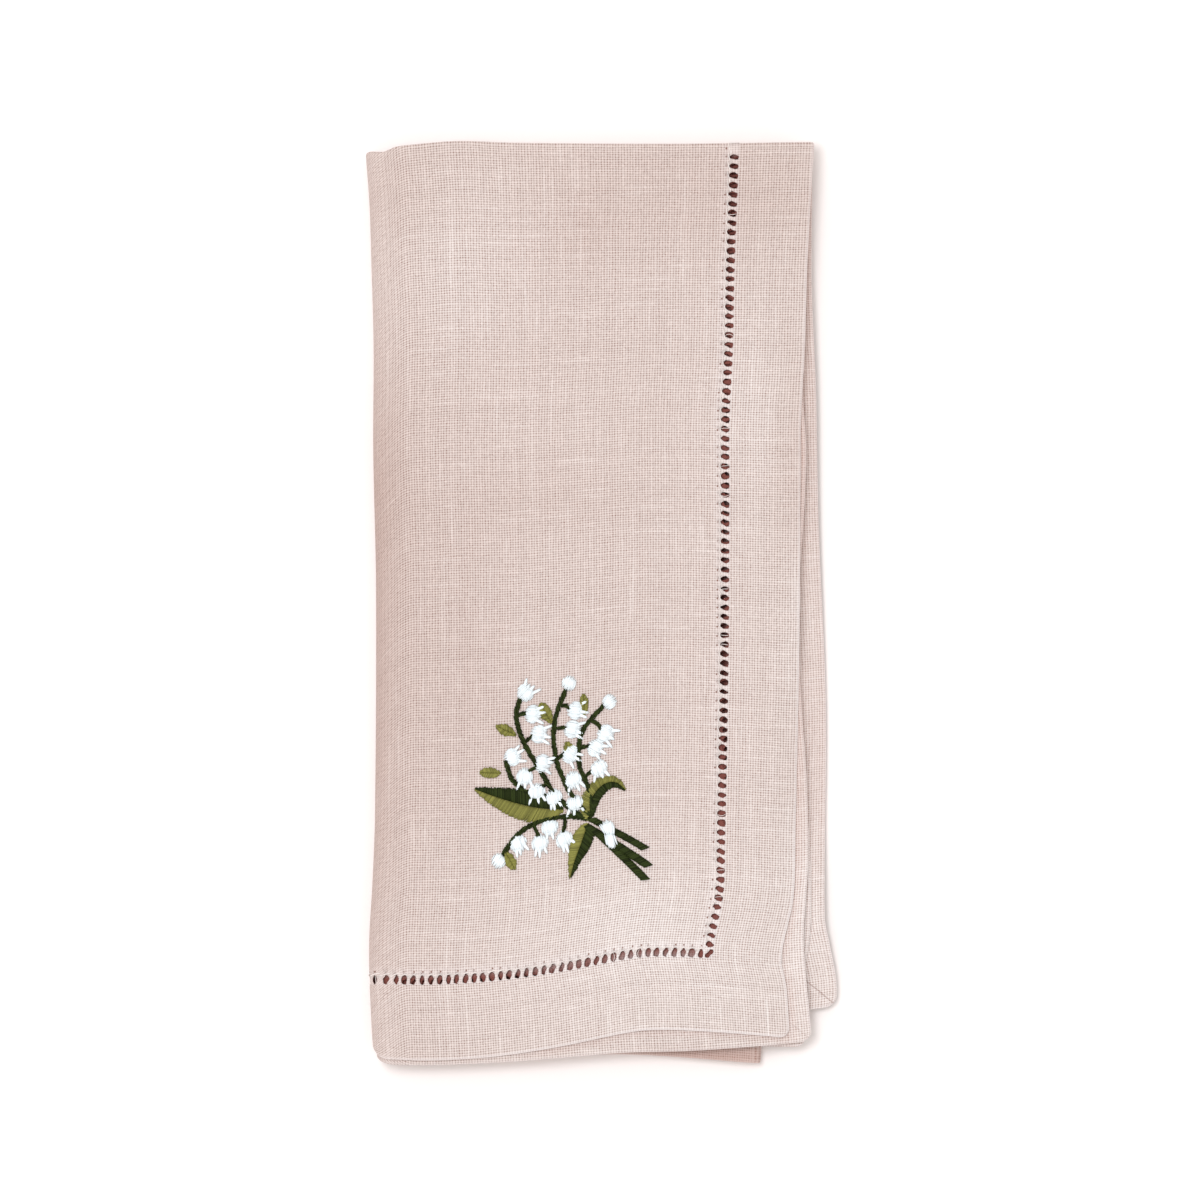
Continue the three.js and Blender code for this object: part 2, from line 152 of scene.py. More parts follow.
# The step that the cloth's slope is measured over, and the least height of its points over the floor.
NORMAL_STEP = 0.02
FLOOR_GAP = 0.02


def lerp(a, b, share):
    """A value between two others."""
    return a + (b - a) * share


def ease(place, start, end):
    """A share from 0 to 1 that eases from one place to another, in either direction."""
    share = np.clip((place - start) / (end - start), 0, 1)
    return share * share * (3 - 2 * share)


def curve_through(rows):
    """A smooth curve through the rows of a table, as a function of their first column."""
    place, edge = np.array(sorted(rows), float).T
    last = len(place) - 1
    before = np.maximum(np.arange(last + 1) - 1, 0)
    after = np.minimum(np.arange(last + 1) + 1, last)
    slope = (edge[after] - edge[before]) / (place[after] - place[before])

    def value(at):
        inside = np.clip(at, place[0], place[-1])
        i = np.clip(np.searchsorted(place, inside), 1, last)
        span = place[i] - place[i - 1]
        t = (inside - place[i - 1]) / span
        bulge = span * t * (1 - t) * (slope[i - 1] * (1 - t) - slope[i] * t)
        return lerp(edge[i - 1], edge[i], t * t * (3 - 2 * t)) + bulge

    return value


left_fold = curve_through(LEFT_FOLD)
centre_fold = curve_through(CENTRE_FOLD)
right_edges = {name: curve_through(rows) for name, rows in RIGHT_EDGES.items()}
end_edges = {name: curve_through(rows) for name, rows in END_EDGES.items()}


def by_half(curves, pair, at, is_front):
    """An edge of a pair of layers, taken from the half of the cloth that each place is on."""
    return np.where(is_front, curves[pair + " a"](at), curves[pair + " b"](at))


def quarter_circle(distance, radius):
    """How far a round corner draws an edge in, at a distance from the side beside it."""
    inside = np.clip(radius - distance, 0, radius)
    return radius - np.sqrt(radius * radius - inside * inside)


def soft_hills(rows, x, y):
    """Sum of soft round hills, from rows of centre x and y, reach in x and y, and height."""
    total = 0
    for centre_x, centre_y, reach_x, reach_y, height in rows:
        total = total + height * np.exp(-((x - centre_x) / reach_x) ** 2 - ((y - centre_y) / reach_y) ** 2)
    return total


def pitch_at(x, y):
    """Layer to layer distance, before the right hem's own thickness."""
    return PITCH + HEM_PITCH * ease(y, *HEM_STACK_Y) + HEAVE_PITCH * soft_hills(HEAVES, x, y)


def height_at(level, x, y):
    """Height of the middle of the cloth at a level of the stack."""
    height = SOLID_CLOTH / 2 + (level - LOWEST_LEVEL) * pitch_at(x, y)
    hem_share = ease(x, *HEM_STACK_X) * (1 - ease(y, *HEM_STACK_Y))
    hem_stack = (level - INNERMOST_LEVEL) * HEM_PITCH * hem_share
    reach = lerp(DROOP_REACH["up"], DROOP_REACH["corner"], ease(y, *HEM_STACK_Y))
    droop = DROOP * ease(x, centre_fold(y), centre_fold(y) + reach)
    low, middle, high = HEM_LIFT_Y
    lift = HEM_LIFT * ease(level, HEM_LIFT_LEVEL, TOP_LEVEL) * ease(y, low, middle) * ease(y, high, middle)
    lift = lift * ease(x, HEM_STACK_X[1], HEM_STACK_X[1] + HEM_WIDTH)
    return height + np.where(level > INNERMOST_LEVEL, hem_stack - droop + lift, 0)


def crease_height(x, y):
    """Height of the soft creases at a place, before it fades out towards the floor."""
    total = np.zeros_like(x)
    for x0, y0, x1, y1, half_width, height in CREASES:
        length = math.hypot(x1 - x0, y1 - y0)
        along = ((x - x0) * (x1 - x0) + (y - y0) * (y1 - y0)) / length
        across = ((x - x0) * (y1 - y0) - (y - y0) * (x1 - x0)) / length
        past_end = np.maximum(np.maximum(-along, along - length), 0)
        total += height * np.exp(-(across / half_width) ** 2 - (past_end / (CREASE_END * half_width)) ** 2)
    return total


# Radii of the folds' middles in pitches, and how much further the outer one bulges.
OUTER_RADIUS = 3
SMALL_RADIUS = 1
FOLD_BULGE = 0.35

# Flat lengths of the folds, and the stretches of cloth in and between them: kind, start and end in u.
OUTER_FOLD = math.pi * OUTER_RADIUS * PITCH
SMALL_FOLD = math.pi * SMALL_RADIUS * PITCH
TOP_FOLD_HALF = math.pi * PITCH / 4
STRETCHES = {
    "front": ("flat", HALF_SIDE, QUARTER_SIDE + OUTER_FOLD / 2),
    "outer": ("left", QUARTER_SIDE + OUTER_FOLD / 2, QUARTER_SIDE - OUTER_FOLD / 2),
    "under": ("flat", QUARTER_SIDE - OUTER_FOLD / 2, SMALL_FOLD / 2),
    "centre": ("centre", SMALL_FOLD / 2, -SMALL_FOLD / 2),
    "inner": ("flat", -SMALL_FOLD / 2, -QUARTER_SIDE + SMALL_FOLD / 2),
    "nested": ("left", -QUARTER_SIDE + SMALL_FOLD / 2, -QUARTER_SIDE - SMALL_FOLD / 2),
    "back": ("flat", -QUARTER_SIDE - SMALL_FOLD / 2, -HALF_SIDE),
}

# Level of each flat stretch at the middle of its two halves, and what the top layer's half adds to it.
LEVEL_OF = {"front": (7, 0.5), "under": (1, -0.5), "inner": (3, 0.5), "back": (5, -0.5)}
FOLD_JOINS = {"outer": ("front", "under"), "centre": ("under", "inner"), "nested": ("inner", "back")}


def level_of(name, side):
    """Level of a flat stretch, on the half of the napkin that the side, from -1 to 1, says."""
    middle, step = LEVEL_OF[name]
    return middle + step * side


def end_at(end, name, share, x, is_front):
    """An end of the cloth in a stretch, top or bottom, blended round the left fold."""

    def edge(pair):
        return end_edges[pair + " top"](x) if end == "top" else by_half(end_edges, pair, x, is_front)

    if name in ("front", "back"):
        return edge(name)
    if name == "outer":
        return lerp(edge("front"), edge("strip"), share)
    if name == "nested":
        return lerp(edge("strip"), edge("back"), share)
    return edge("strip")


def fold_stretch(name, u, v, has_round_corners):
    """Points of the middle of the cloth in one of its stretches."""
    kind, start, end = STRETCHES[name]
    share = (start - u) / (start - end)
    turn = np.clip(v / TOP_FOLD_HALF, -1, 1) * math.pi / 2
    side = -np.sin(turn)
    is_front = v <= 0
    run = np.maximum(np.abs(v) - TOP_FOLD_HALF, 0) / (HALF_SIDE - TOP_FOLD_HALF)

    def row_y(x, pair):
        return lerp(end_edges[pair + " top"](x), by_half(end_edges, pair, x, is_front), run)

    left = left_fold(row_y(CORNER_X["left"], "front"))
    centre = centre_fold(row_y(CORNER_X["centre"], "strip"))
    strip_y = lerp(end_edges["strip top"](left), end_edges["strip a"](left), run)
    left_pitch = pitch_at(left, strip_y)
    left_centre = left + SOLID_CLOTH / 2 + (OUTER_RADIUS + 0.5) * left_pitch
    centre_pitch = pitch_at(centre, strip_y)
    right_centre = centre - SOLID_CLOTH / 2 - (SMALL_RADIUS + 0.5) * centre_pitch

    angle = math.pi * share
    if kind == "flat":
        right_end = right_centre
        if name in ("front", "back"):
            right_end = by_half(right_edges, name, row_y(CORNER_X[name], name), is_front)
        if name in ("front", "inner"):
            x = lerp(right_end, left_centre, share)
        else:
            x = lerp(left_centre, right_end, share)
    elif kind == "left":
        radius = OUTER_RADIUS + side / 2 if name == "outer" else SMALL_RADIUS - side / 2
        bulge = FOLD_BULGE if name == "outer" else 0
        x = left_centre - (radius * left_pitch + bulge) * np.sin(angle)
    else:
        x = right_centre + (SMALL_RADIUS + side / 2) * centre_pitch * np.sin(angle)

    fold_x = x if kind == "flat" else left_centre if kind == "left" else right_centre
    before, after = (name, name) if kind == "flat" else FOLD_JOINS[name]
    low, high = (height_at(level_of(before, half), fold_x, strip_y) for half in (-1, 1))
    fold_radius = np.abs(high - low) / 2
    fold_y = end_at("top", name, share, x, is_front) - SOLID_CLOTH / 2 - fold_radius
    bottom_y = end_at("bottom", name, share, x, is_front)
    y = np.where(run > 0, lerp(fold_y, bottom_y, run), fold_y + fold_radius * np.cos(turn))

    if has_round_corners:
        from_hem = HALF_SIDE - np.abs(v)
        nearness = np.maximum(1 - from_hem / FOLD_CORNER_REACH, 0) ** 2
        y = y + quarter_circle(x - left, FOLD_CORNER) * nearness
        in_side = 1 - np.clip((HALF_SIDE - np.abs(u)) / OPEN_CORNER, 0, 1)
        in_end = 1 - np.clip(from_hem / OPEN_CORNER, 0, 1)
        x = x - OPEN_CORNER * in_side * (1 - np.sqrt(1 - in_end ** 2 / 2))
        y = y + OPEN_CORNER * in_end * (1 - np.sqrt(1 - in_side ** 2 / 2))

    if kind == "flat":
        z = height_at(level_of(name, side), x, y)
    else:
        first = height_at(level_of(before, side), fold_x, y)
        second = height_at(level_of(after, side), fold_x, y)
        z = (first + second) / 2 + (first - second) / 2 * np.cos(angle)
    z = z - SETTLE * (1 - ease(z, SOLID_CLOTH / 2, SOLID_CLOTH / 2 + PITCH))
    z = z + crease_height(x, y) * np.clip(z / CREASE_TOP, 0, 1) ** 2
    return np.stack([x, y, z], axis=-1)


def folded(u, v, has_round_corners=True):
    """Points of the middle of the folded cloth, from places on the flat napkin."""
    points = np.zeros((len(u), 3))
    left = np.ones(len(u), bool)
    for name, (_, _, end) in STRETCHES.items():
        here = left & ((u >= end) | (name == "back"))
        left &= ~here
        if here.any():
            points[here] = fold_stretch(name, u[here], v[here], has_round_corners)
    return points


def on_cloth(u, v, height):
    """Points at a height off the middle of the folded cloth, towards its right side."""
    steps = {}
    for name, place in (("across", u), ("up", v)):
        low = np.maximum(place - NORMAL_STEP, -HALF_SIDE)
        high = np.minimum(place + NORMAL_STEP, HALF_SIDE)
        ends = [(low, v), (high, v)] if name == "across" else [(u, low), (u, high)]
        steps[name] = folded(*ends[1], False) - folded(*ends[0], False)
    normal = np.cross(steps["across"], steps["up"])
    normal /= np.linalg.norm(normal, axis=1, keepdims=True)
    points = folded(u, v) + normal * height[:, None]
    points[:, 2] = np.maximum(points[:, 2], FLOOR_GAP)
    return points


def add_to_scene(name, data):
    """A new object in the scene, with its mesh, its light or its camera."""
    made = bpy.data.objects.new(name, data)
    bpy.context.scene.collection.objects.link(made)
    return made


def new_piece(name, points, faces, material):
    """A smooth mesh piece in the napkin's frame that rides with the cloth."""
    mesh = bpy.data.meshes.new(name)
    mesh.from_pydata((points * MM).tolist(), [], faces)
    mesh.polygons.foreach_set("use_smooth", [True] * len(mesh.polygons))
    mesh.materials.append(material)
    mesh.update()
    piece = add_to_scene(name, mesh)
    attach(piece, "root")
    return piece


def set_uv(mesh, name, per_vertex):
    """A UV map from one pair of coordinates for each vertex."""
    corners = np.zeros(len(mesh.loops), np.int32)
    mesh.loops.foreach_get("vertex_index", corners)
    layer = mesh.uv_layers.new(name=name)
    layer.data.foreach_set("uv", np.asarray(per_vertex, np.float32)[corners].ravel())


def set_attribute(mesh, name, per_vertex):
    """A named number for each vertex, which materials read."""
    layer = mesh.attributes.new(name, "FLOAT", "POINT")
    layer.data.foreach_set("value", np.asarray(per_vertex, np.float32))


# The flat net: its lines' distances from a hemmed edge, where the hem's step lies, and steps in the folds.
HEM_STEP_LINES = [HEM_WIDTH - BAND_HALF - 0.45, HEM_WIDTH - BAND_HALF - 0.25]
HEM_LINES = [0, 0.12, 0.4, 0.9, 1.6, 2.4, 3.4, 5, 8, 11, 14, 17, 19.2, *HEM_STEP_LINES]
OUTER_FOLD_STEPS = 16
SMALL_FOLD_STEPS = 6
TOP_FOLD_STEPS = 8
CLEAR_OF_FOLD = 0.9

# A bundle's half width at places across the band, its half thicknesses, and how far bundles stand off their
# line, lean and vary, at their ends less. A few at a corner are wide, and so are those on the left fold.
BUNDLE_ROWS = [(-1.3, 1.15), (-0.98, 0.77), (-0.3, 0.52), (0.35, 0.52), (1.02, 0.74), (1.3, 1.08)]
BUNDLE_MIDDLE = 0.30
BUNDLE_SIDE = 0.12
BUNDLE_SHIFT = 0.15
BUNDLE_LEAN = (-0.36, 0.06)
BUNDLE_RAGGED = 0.15
BUNDLE_SIZES = (0.80, 1.12)
END_SHARE = 0.3
WIDE_BUNDLES = (0, 4)
WIDE_SIZE = 1.2
FOLD_SIZE = 1.3

# The band's sides: whether it runs up the cloth, which way its hem lies, and whether its net is mirrored.
BAND_SIDES = {
    "right": (True, 1, True),
    "top": (False, 1, False),
    "left": (True, -1, False),
    "bottom": (False, -1, True),
}

# The hole in a corner of the band is a slot across it: half its length, half its width near its ends and at
# its middle, and the angle between places on its outline.
SLOT_LENGTH = 1.6
SLOT_WIDTH = 0.9
SLOT_WAIST = 0.56
SLOT_STEP = math.radians(25)

# Holes that are drawn shut: at the top fold, and by the left fold in the layers under the visible one.
SHUT_AT_TOP = 2.5
SHUT_BY_FOLD = 9


def bundle_line(i):
    """Place along the band of the line between hole i - 1 and hole i."""
    return -BAND_IN + i * HOLE_PITCH


def hole_middle(i):
    """Place along the band of the middle of the hole before bundle i."""
    return -BAND_IN + (i - 0.5) * HOLE_PITCH


def is_shut(side, i):
    """Whether the hole before bundle i is drawn shut on a side of the band."""
    middle = hole_middle(i)
    by_fold = abs(abs(middle) - QUARTER_SIDE) < SHUT_BY_FOLD
    is_under = side == "top" or (side == "bottom" and middle < QUARTER_SIDE)
    return abs(middle) < SHUT_AT_TOP or (by_fold and is_under)


def net_lines(folds, coarse_below):
    """Lines across the flat cloth: hem lines, fold lines and every or every second bundle line between."""
    lines = [sign * (HALF_SIDE - distance) for sign in (-1, 1) for distance in HEM_LINES]
    lines += [sign * edge for sign in (-1, 1) for edge in (BAND_IN, BAND_OUT)]
    for start, end, steps in folds:
        lines += list(np.linspace(start, end, steps + 1))
    for i in range(1, HOLES):
        line = bundle_line(i)
        is_clear = not any(start - CLEAR_OF_FOLD <= line <= end + CLEAR_OF_FOLD for start, end, _ in folds)
        is_wanted = i % 2 == 0 or coarse_below[0] < line < coarse_below[1]
        if is_clear and is_wanted:
            lines.append(line)
    return sorted(set(round(line, 4) for line in lines))


class FlatNet:
    """Polygons over the flat cloth that share their points, with its half thickness where it is thin."""

    def __init__(self):
        self.index = {}
        self.faces = []
        self.thin = {}

    def point(self, place, half):
        """The number of the point at a place, shared by all the polygons that meet there."""
        key = (round(place[0], 4), round(place[1], 4))
        number = self.index.setdefault(key, len(self.index))
        if half is not None:
            self.thin[number] = half
        return number

    def face(self, places, halves, mirrored):
        """A polygon through places with their half thicknesses, turned over where it is mirrored."""
        rows = list(zip(places, halves))
        if mirrored:
            rows.reverse()
        self.faces.append([self.point(place, half) for place, half in rows])


def band_place(side, s, w):
    """Flat place of a point on a side of the band, s along it and w across it towards the hem."""
    runs_up, sign, _ = BAND_SIDES[side]
    across = sign * (BAND_IN + BAND_HALF + w)
    return (across, s) if runs_up else (s, across)


def between(lines, start, end):
    """The lines strictly between two places, in the order from the first to the second."""
    found = [line for line in lines if min(start, end) + 1e-3 < line < max(start, end) - 1e-3]
    return found if start < end else found[::-1]


def bundle_edges(rng):
    """For each bundle, its left, middle and right places along the band at its rows."""
    bundles = []
    for i in range(HOLES + 1):
        line = bundle_line(i)
        width = rng.uniform(*BUNDLE_SIZES)
        lean = rng.uniform(*BUNDLE_LEAN)
        shift = rng.uniform(-BUNDLE_SHIFT, BUNDLE_SHIFT)
        if WIDE_BUNDLES[0] <= i <= WIDE_BUNDLES[1]:
            width = WIDE_SIZE
        elif abs(line - QUARTER_SIDE) < OUTER_FOLD / 2 + HOLE_PITCH:
            width, lean, shift = FOLD_SIZE, sum(BUNDLE_LEAN) / 2, 0
        rows = []
        for w, half in BUNDLE_ROWS:
            is_end = abs(w) >= BAND_HALF
            middle = line if is_end or i in (0, HOLES) else line + shift + lean * w
            reach = half * (1 + (width - 1) * (END_SHARE if is_end else 1))
            ragged = [0 if is_end else rng.uniform(-BUNDLE_RAGGED, BUNDLE_RAGGED) for _ in range(2)]
            left = middle if i == 0 else middle - reach + ragged[0]
            right = middle if i == HOLES else middle + reach + ragged[1]
            rows.append((w, round(left, 4), round(middle, 4), round(right, 4)))
        bundles.append(rows)
    return bundles


def edge_places(bundles):
    """All places along the band where something of it meets the cells beside it."""
    places = {place for bundle in bundles for row in (bundle[0], bundle[-1]) for place in row[1:]}
    for i in range(1, HOLES + 1):
        if any(is_shut(side, i) for side in BAND_SIDES):
            places.add(round(hole_middle(i), 4))
    return places


def add_band_side(net, side, lines, bundles):
    """The bundles of one side of the band. Its holes are what is left between them."""
    mirrored = BAND_SIDES[side][2]
    lines = sorted({*lines, *edge_places(bundles)})
    halves = {1: BUNDLE_SIDE, 2: BUNDLE_MIDDLE, 3: BUNDLE_SIDE}

    def quad(low, high, first, second):
        """A face between two columns of a bundle, with the net's lines put into its outer edges."""
        places = []
        sizes = []
        for row, start, end in ((low, first, second), (high, second, first)):
            w = row[0]
            lines_within = between(lines, row[start], row[end]) if abs(w) >= BAND_HALF else []
            places += [band_place(side, s, w) for s in (row[start], *lines_within, row[end])]
            sizes += [halves[start], *[LINEN / 2] * len(lines_within), halves[end]]
        net.face(places, sizes, mirrored)

    for i, rows in enumerate(bundles):
        if is_shut(side, i):
            rows = [(w, round(hole_middle(i), 4), middle, right) for w, _, middle, right in rows]
        if is_shut(side, i + 1):
            rows = [(w, left, middle, round(hole_middle(i + 1), 4)) for w, left, middle, _ in rows]
        for low, high in zip(rows, rows[1:]):
            if i > 0:
                quad(low, high, 1, 2)
            if i < HOLES:
                quad(low, high, 2, 3)


def slot_point(angle):
    """A place on a corner hole's outline, from its middle. The angle is 0 at its upper left end."""
    across = SLOT_LENGTH * math.cos(angle)
    width = lerp(SLOT_WAIST, SLOT_WIDTH, abs(math.cos(angle)))
    along = math.copysign(width * abs(math.sin(angle)) ** 0.5, math.sin(angle))
    return (along - across) / math.sqrt(2), (along + across) / math.sqrt(2)


def add_band_corner(net, sign_u, sign_v):
    """A corner of the band: a ring round a slanted hole."""
    low, high = BAND_IN, BAND_OUT
    middle = (low + high) / 2
    rows = [round(middle + w, 4) for w, _ in BUNDLE_ROWS]
    outer = [(low, y) for y in reversed(rows)] + [(x, low) for x in rows[1:]] + [(high, high), (low, high)]
    angles = [0.0]
    for x, y in outer[1:]:
        angle = math.atan2(x + y - 2 * middle, y - x)
        angles.append(angle - math.tau * math.ceil((angle - angles[-1]) / math.tau))
    for i in range(len(outer) - 1):
        steps = math.ceil((angles[i] - angles[i + 1]) / SLOT_STEP)
        inner = [slot_point(angle) for angle in np.linspace(angles[i + 1], angles[i], steps + 1)]
        ring = [outer[i], outer[i + 1]] + [(middle + x, middle + y) for x, y in inner]
        places = [(sign_u * x, sign_v * y) for x, y in ring]
        sizes = [None, None] + [BUNDLE_SIDE] * len(inner)
        net.face(places, sizes, sign_u * sign_v < 0)


def add_cells(net, columns, rows, bundles):
    """The cells of the net outside the band, with the bundles' places put into those beside it."""
    edge_lines = sorted(edge_places(bundles))
    band_lines = {round(sign * edge, 4) for sign in (-1, 1) for edge in (BAND_IN, BAND_OUT)}
    limit = BAND_IN + 1e-3

    def edge(start, end):
        """Places from one corner of a cell up to the next, with the band's own places between them."""
        places = [start]
        for axis in (0, 1):
            fixed = round(start[axis], 4)
            if start[axis] == end[axis] and fixed in band_lines:
                first, last = start[1 - axis], end[1 - axis]
                if max(abs(first), abs(last)) < limit:
                    for line in between(edge_lines, first, last):
                        places.append((fixed, line) if axis == 0 else (line, fixed))
        return places

    def in_band(low, high):
        return abs(abs(low + high) / 2 - BAND_IN - BAND_HALF) < BAND_HALF

    for left, right in zip(columns, columns[1:]):
        for low, high in zip(rows, rows[1:]):
            inside_u = abs(left + right) / 2 < BAND_OUT
            inside_v = abs(low + high) / 2 < BAND_OUT
            if (in_band(left, right) and inside_v) or (in_band(low, high) and inside_u):
                continue
            corners = [(left, low), (right, low), (right, high), (left, high)]
            places = []
            for corner, following in zip(corners, corners[1:] + corners[:1]):
                places += edge(corner, following)
            net.face(places, [None] * len(places), False)


def half_thickness(u, v, net):
    """Distances from the middle of the cloth to its right side and to its reverse."""
    from_edge = HALF_SIDE - np.maximum(np.abs(u), np.abs(v))
    in_hem = 1 - ease(from_edge, *HEM_STEP_LINES)
    plain = np.full(len(u), LINEN / 2)
    for number, half in net.thin.items():
        plain[number] = half
    middle = (LINEN / 2 - HEM_REVERSE) / 2 * in_hem
    half = lerp(plain, (LINEN / 2 + HEM_REVERSE) / 2, in_hem)
    roundness = np.sqrt(1 - np.clip(1 - from_edge / HEM_ROUND, 0, 1) ** 2)
    half = half * np.maximum(roundness, HEM_EDGE)
    return half + middle, half - middle


# How strongly the mitre seams show on the reverse where u is above 0, and the seed of the bundles' draws.
FRONT_SEAM = 0.25
BUNDLE_SEED = 11


def make_cloth(material):
    """The napkin itself: right side, reverse, round hem edges and the walls of the hemstitch holes."""
    bundles = bundle_edges(random.Random(BUNDLE_SEED))
    reach = OUTER_FOLD / 2
    small = SMALL_FOLD / 2
    column_folds = [
        (QUARTER_SIDE - reach, QUARTER_SIDE + reach, OUTER_FOLD_STEPS),
        (-small, small, SMALL_FOLD_STEPS),
        (-QUARTER_SIDE - small, -QUARTER_SIDE + small, SMALL_FOLD_STEPS),
    ]
    columns = net_lines(column_folds, (QUARTER_SIDE, HALF_SIDE))
    rows = net_lines([(-TOP_FOLD_HALF, TOP_FOLD_HALF, TOP_FOLD_STEPS)], (-HALF_SIDE, 0))
    net = FlatNet()
    add_cells(net, columns, rows, bundles)
    for side, (runs_up, _, _) in BAND_SIDES.items():
        add_band_side(net, side, rows if runs_up else columns, bundles)
    for sign_u in (-1, 1):
        for sign_v in (-1, 1):
            add_band_corner(net, sign_u, sign_v)

    flat = np.array(list(net.index))
    u, v = flat.T
    right, reverse = half_thickness(u, v, net)
    points = np.concatenate([on_cloth(u, v, right), on_cloth(u, v, -reverse)])
    count = len(flat)
    sides = dict.fromkeys(pair for face in net.faces for pair in zip(face, face[1:] + face[:1]))
    faces = list(net.faces)
    faces += [[count + number for number in reversed(face)] for face in net.faces]
    faces += [[b, a, count + a, count + b] for a, b in sides if (b, a) not in sides]

    piece = new_piece("napkin_linen", points, faces, material)
    set_uv(piece.data, "weave", np.tile(flat, (2, 1)))
    is_front = (u > 0) & (v <= 0)
    is_inner = np.abs(u) < QUARTER_SIDE
    is_skin = np.concatenate([is_front, np.zeros(count, bool)])
    # Painted shade of the hollows, painted warm shade and bounced light, painted shade and light as tone, and
    # the rims' painted highlight.
    attributes = {
        "hollow_shade": np.where(is_skin, 0, hollow_shade_share(points)),
        "warm": np.where(is_skin, 0, warm_shade_share(points, np.tile(is_inner, 2))),
        "reverse": np.concatenate([np.zeros(count), np.where(u > 0, FRONT_SEAM, 1)]),
        "tone": shade_and_light_tone_at(points, np.tile(~is_inner & ~is_front, 2)),
        "rim": np.tile(rim_highlight_share(u, v, net), 2),
    }
    for name, per_vertex in attributes.items():
        set_attribute(piece.data, name, per_vertex)
    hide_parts(CLOTH_NODE)
    return piece, bundles


# What lies under the top layer's band, or is its far side, is seen only through the holes. It gets painted
# shade as dark as the inside of the stack, and that painted shade fades out between these two distances.
HOLLOW_FADE = (2.6, 4.2)
CLEAR_OF_TOP = 2.0
PAST_CORNER = 2.0
BAND_SAMPLES = 80


def hollow_shade_share(points):
    """Share of the painted shade of the inside of the stack, along two sides of the top layer's band."""
    middle = BAND_IN + BAND_HALF
    along = np.linspace(-middle, 0, BAND_SAMPLES)
    right_band = folded(np.full(BAND_SAMPLES, middle), along)
    across = np.linspace(QUARTER_SIDE + OUTER_FOLD / 2, middle, BAND_SAMPLES)
    bottom_band = folded(across, np.full(BAND_SAMPLES, -middle))
    x, y = points[:, 0], points[:, 1]
    from_right = np.abs(x - np.interp(y, right_band[:, 1], right_band[:, 0]))
    from_right = np.maximum(from_right, right_band[0, 1] - y - PAST_CORNER)
    from_right = np.maximum(from_right, y - right_band[-1, 1] + HOLLOW_FADE[1] + CLEAR_OF_TOP)
    from_bottom = np.abs(y - np.interp(x, bottom_band[:, 0], bottom_band[:, 1]))
    from_bottom = np.maximum(from_bottom, x - bottom_band[-1, 0] - PAST_CORNER)
    return 1 - ease(np.minimum(from_right, from_bottom), *HOLLOW_FADE)


# Painted shade and warm bounced light on the lower layers, where light from cloth to cloth warms them: its
# share on their strips and beside the top layer's edge, its reach there, and where along the bottom edge it
# fades in.
STRIP_WARMTH = 0.19
EDGE_WARMTH = 0.12
WARM_REACH = 2.8
WARM_START = (-26, -12)

# Strips near the open corner keep this share of their warmth, fading to it between these places in y.
LOW_WARMTH = 0.6
LOW_STRIP = (-95, -60)

# The fold corner that shows below the open layers gets more painted warm shade: its share, and where it
# begins in y.
CORNER_WARMTH = 0.34
CORNER_START = (-125, -128)

# The strips beside the top layer's right edge get painted light, paler than their depth would make them.
STRIP_TONE = 0.14
STRIP_START = (-1.0, 0.6)


def warm_shade_share(points, is_inner):
    """Share of the painted warm shade and bounced light on the layers under the top one, beside its right and
    bottom edges.
    """
    x, y = points[:, 0], points[:, 1]
    beside = x - right_edges["front a"](y)
    below = end_edges["front a"](x) - y
    by_side = (beside > -WARM_REACH) * (1 - ease(beside, 0, WARM_REACH))
    by_end = (below > -WARM_REACH) * (1 - ease(below, 0, WARM_REACH)) * ease(x, *WARM_START)
    by_edge = np.where(beside > 0, by_side, np.maximum(by_side, by_end))
    by_strip = ease(beside, *STRIP_START) * lerp(LOW_WARMTH, 1, ease(y, *LOW_STRIP))
    in_corner = is_inner * ease(y, *CORNER_START)
    return STRIP_WARMTH * by_strip + EDGE_WARMTH * by_edge + CORNER_WARMTH * in_corner


# Hem edges get a painted highlight and bundles the same pale colour over the open weave, lower hem edges
# less.
RIM_REACH = 0.9
LOWER_RIM = 0.5
BUNDLE_RIM = 0.7


def rim_highlight_share(u, v, net):
    """Share of the painted highlight on the edges of the hems, and of the same pale colour on the bundles."""
    from_edge = HALF_SIDE - np.maximum(np.abs(u), np.abs(v))
    share = (1 - ease(from_edge, RIM_REACH / 2, RIM_REACH)) * np.where((u > 0) & (v <= 0), 1, LOWER_RIM)
    for number in net.thin:
        share[number] = BUNDLE_RIM
    return share


# Painted shade and light in soft patches, where folds and slopes would be darker or lighter: centre x and y,
# reach in x and y, share.
SHADE_AND_LIGHT_PATCHES = [
    (-68, -20, 9, 95, -0.19),
    (-66, -10, 26, 110, -0.07),
    (-62, 118, 16, 16, -0.05),
    (30, 122, 60, 18, -0.05),
    (20, -104, 70, 36, 0.11),
    (52, 0, 30, 120, 0.05),
    (-63, 34, 8, 24, -0.07),
    (8, -91, 20, 14, 0.07),
    (44, 112, 34, 16, -0.04),
    (55, 35, 6, 30, -0.10),
    (57, 0, 6, 34, 0.06),
    (28, -131, 22, 3.5, -0.19),
    (-42, 96, 16, 26, 0.07),
    (57, -74, 7, 14, 0.06),
    (42, 58, 10, 22, 0.05),
    (-38, -20, 16, 40, -0.04),
    (-4, 106, 9, 12, -0.05),
    (-18, 30, 26, 12, -0.035),
]

# How strongly a change of tone acts on red, green and blue: paler cloth is less pink too.
TONE_POWERS = (0.85, 1.25, 1.40)


def shade_and_light_tone_at(points, is_lower):
    """Tone of the cloth: painted shade and light in soft patches, and painted light on the paler strips of
    the lower layers.
    """
    x, y = points[:, 0], points[:, 1]
    strip = STRIP_TONE * ease(x - right_edges["front a"](y), *STRIP_START)
    return 1 + soft_hills(SHADE_AND_LIGHT_PATCHES, x, y) + np.where(is_lower, strip, 0)


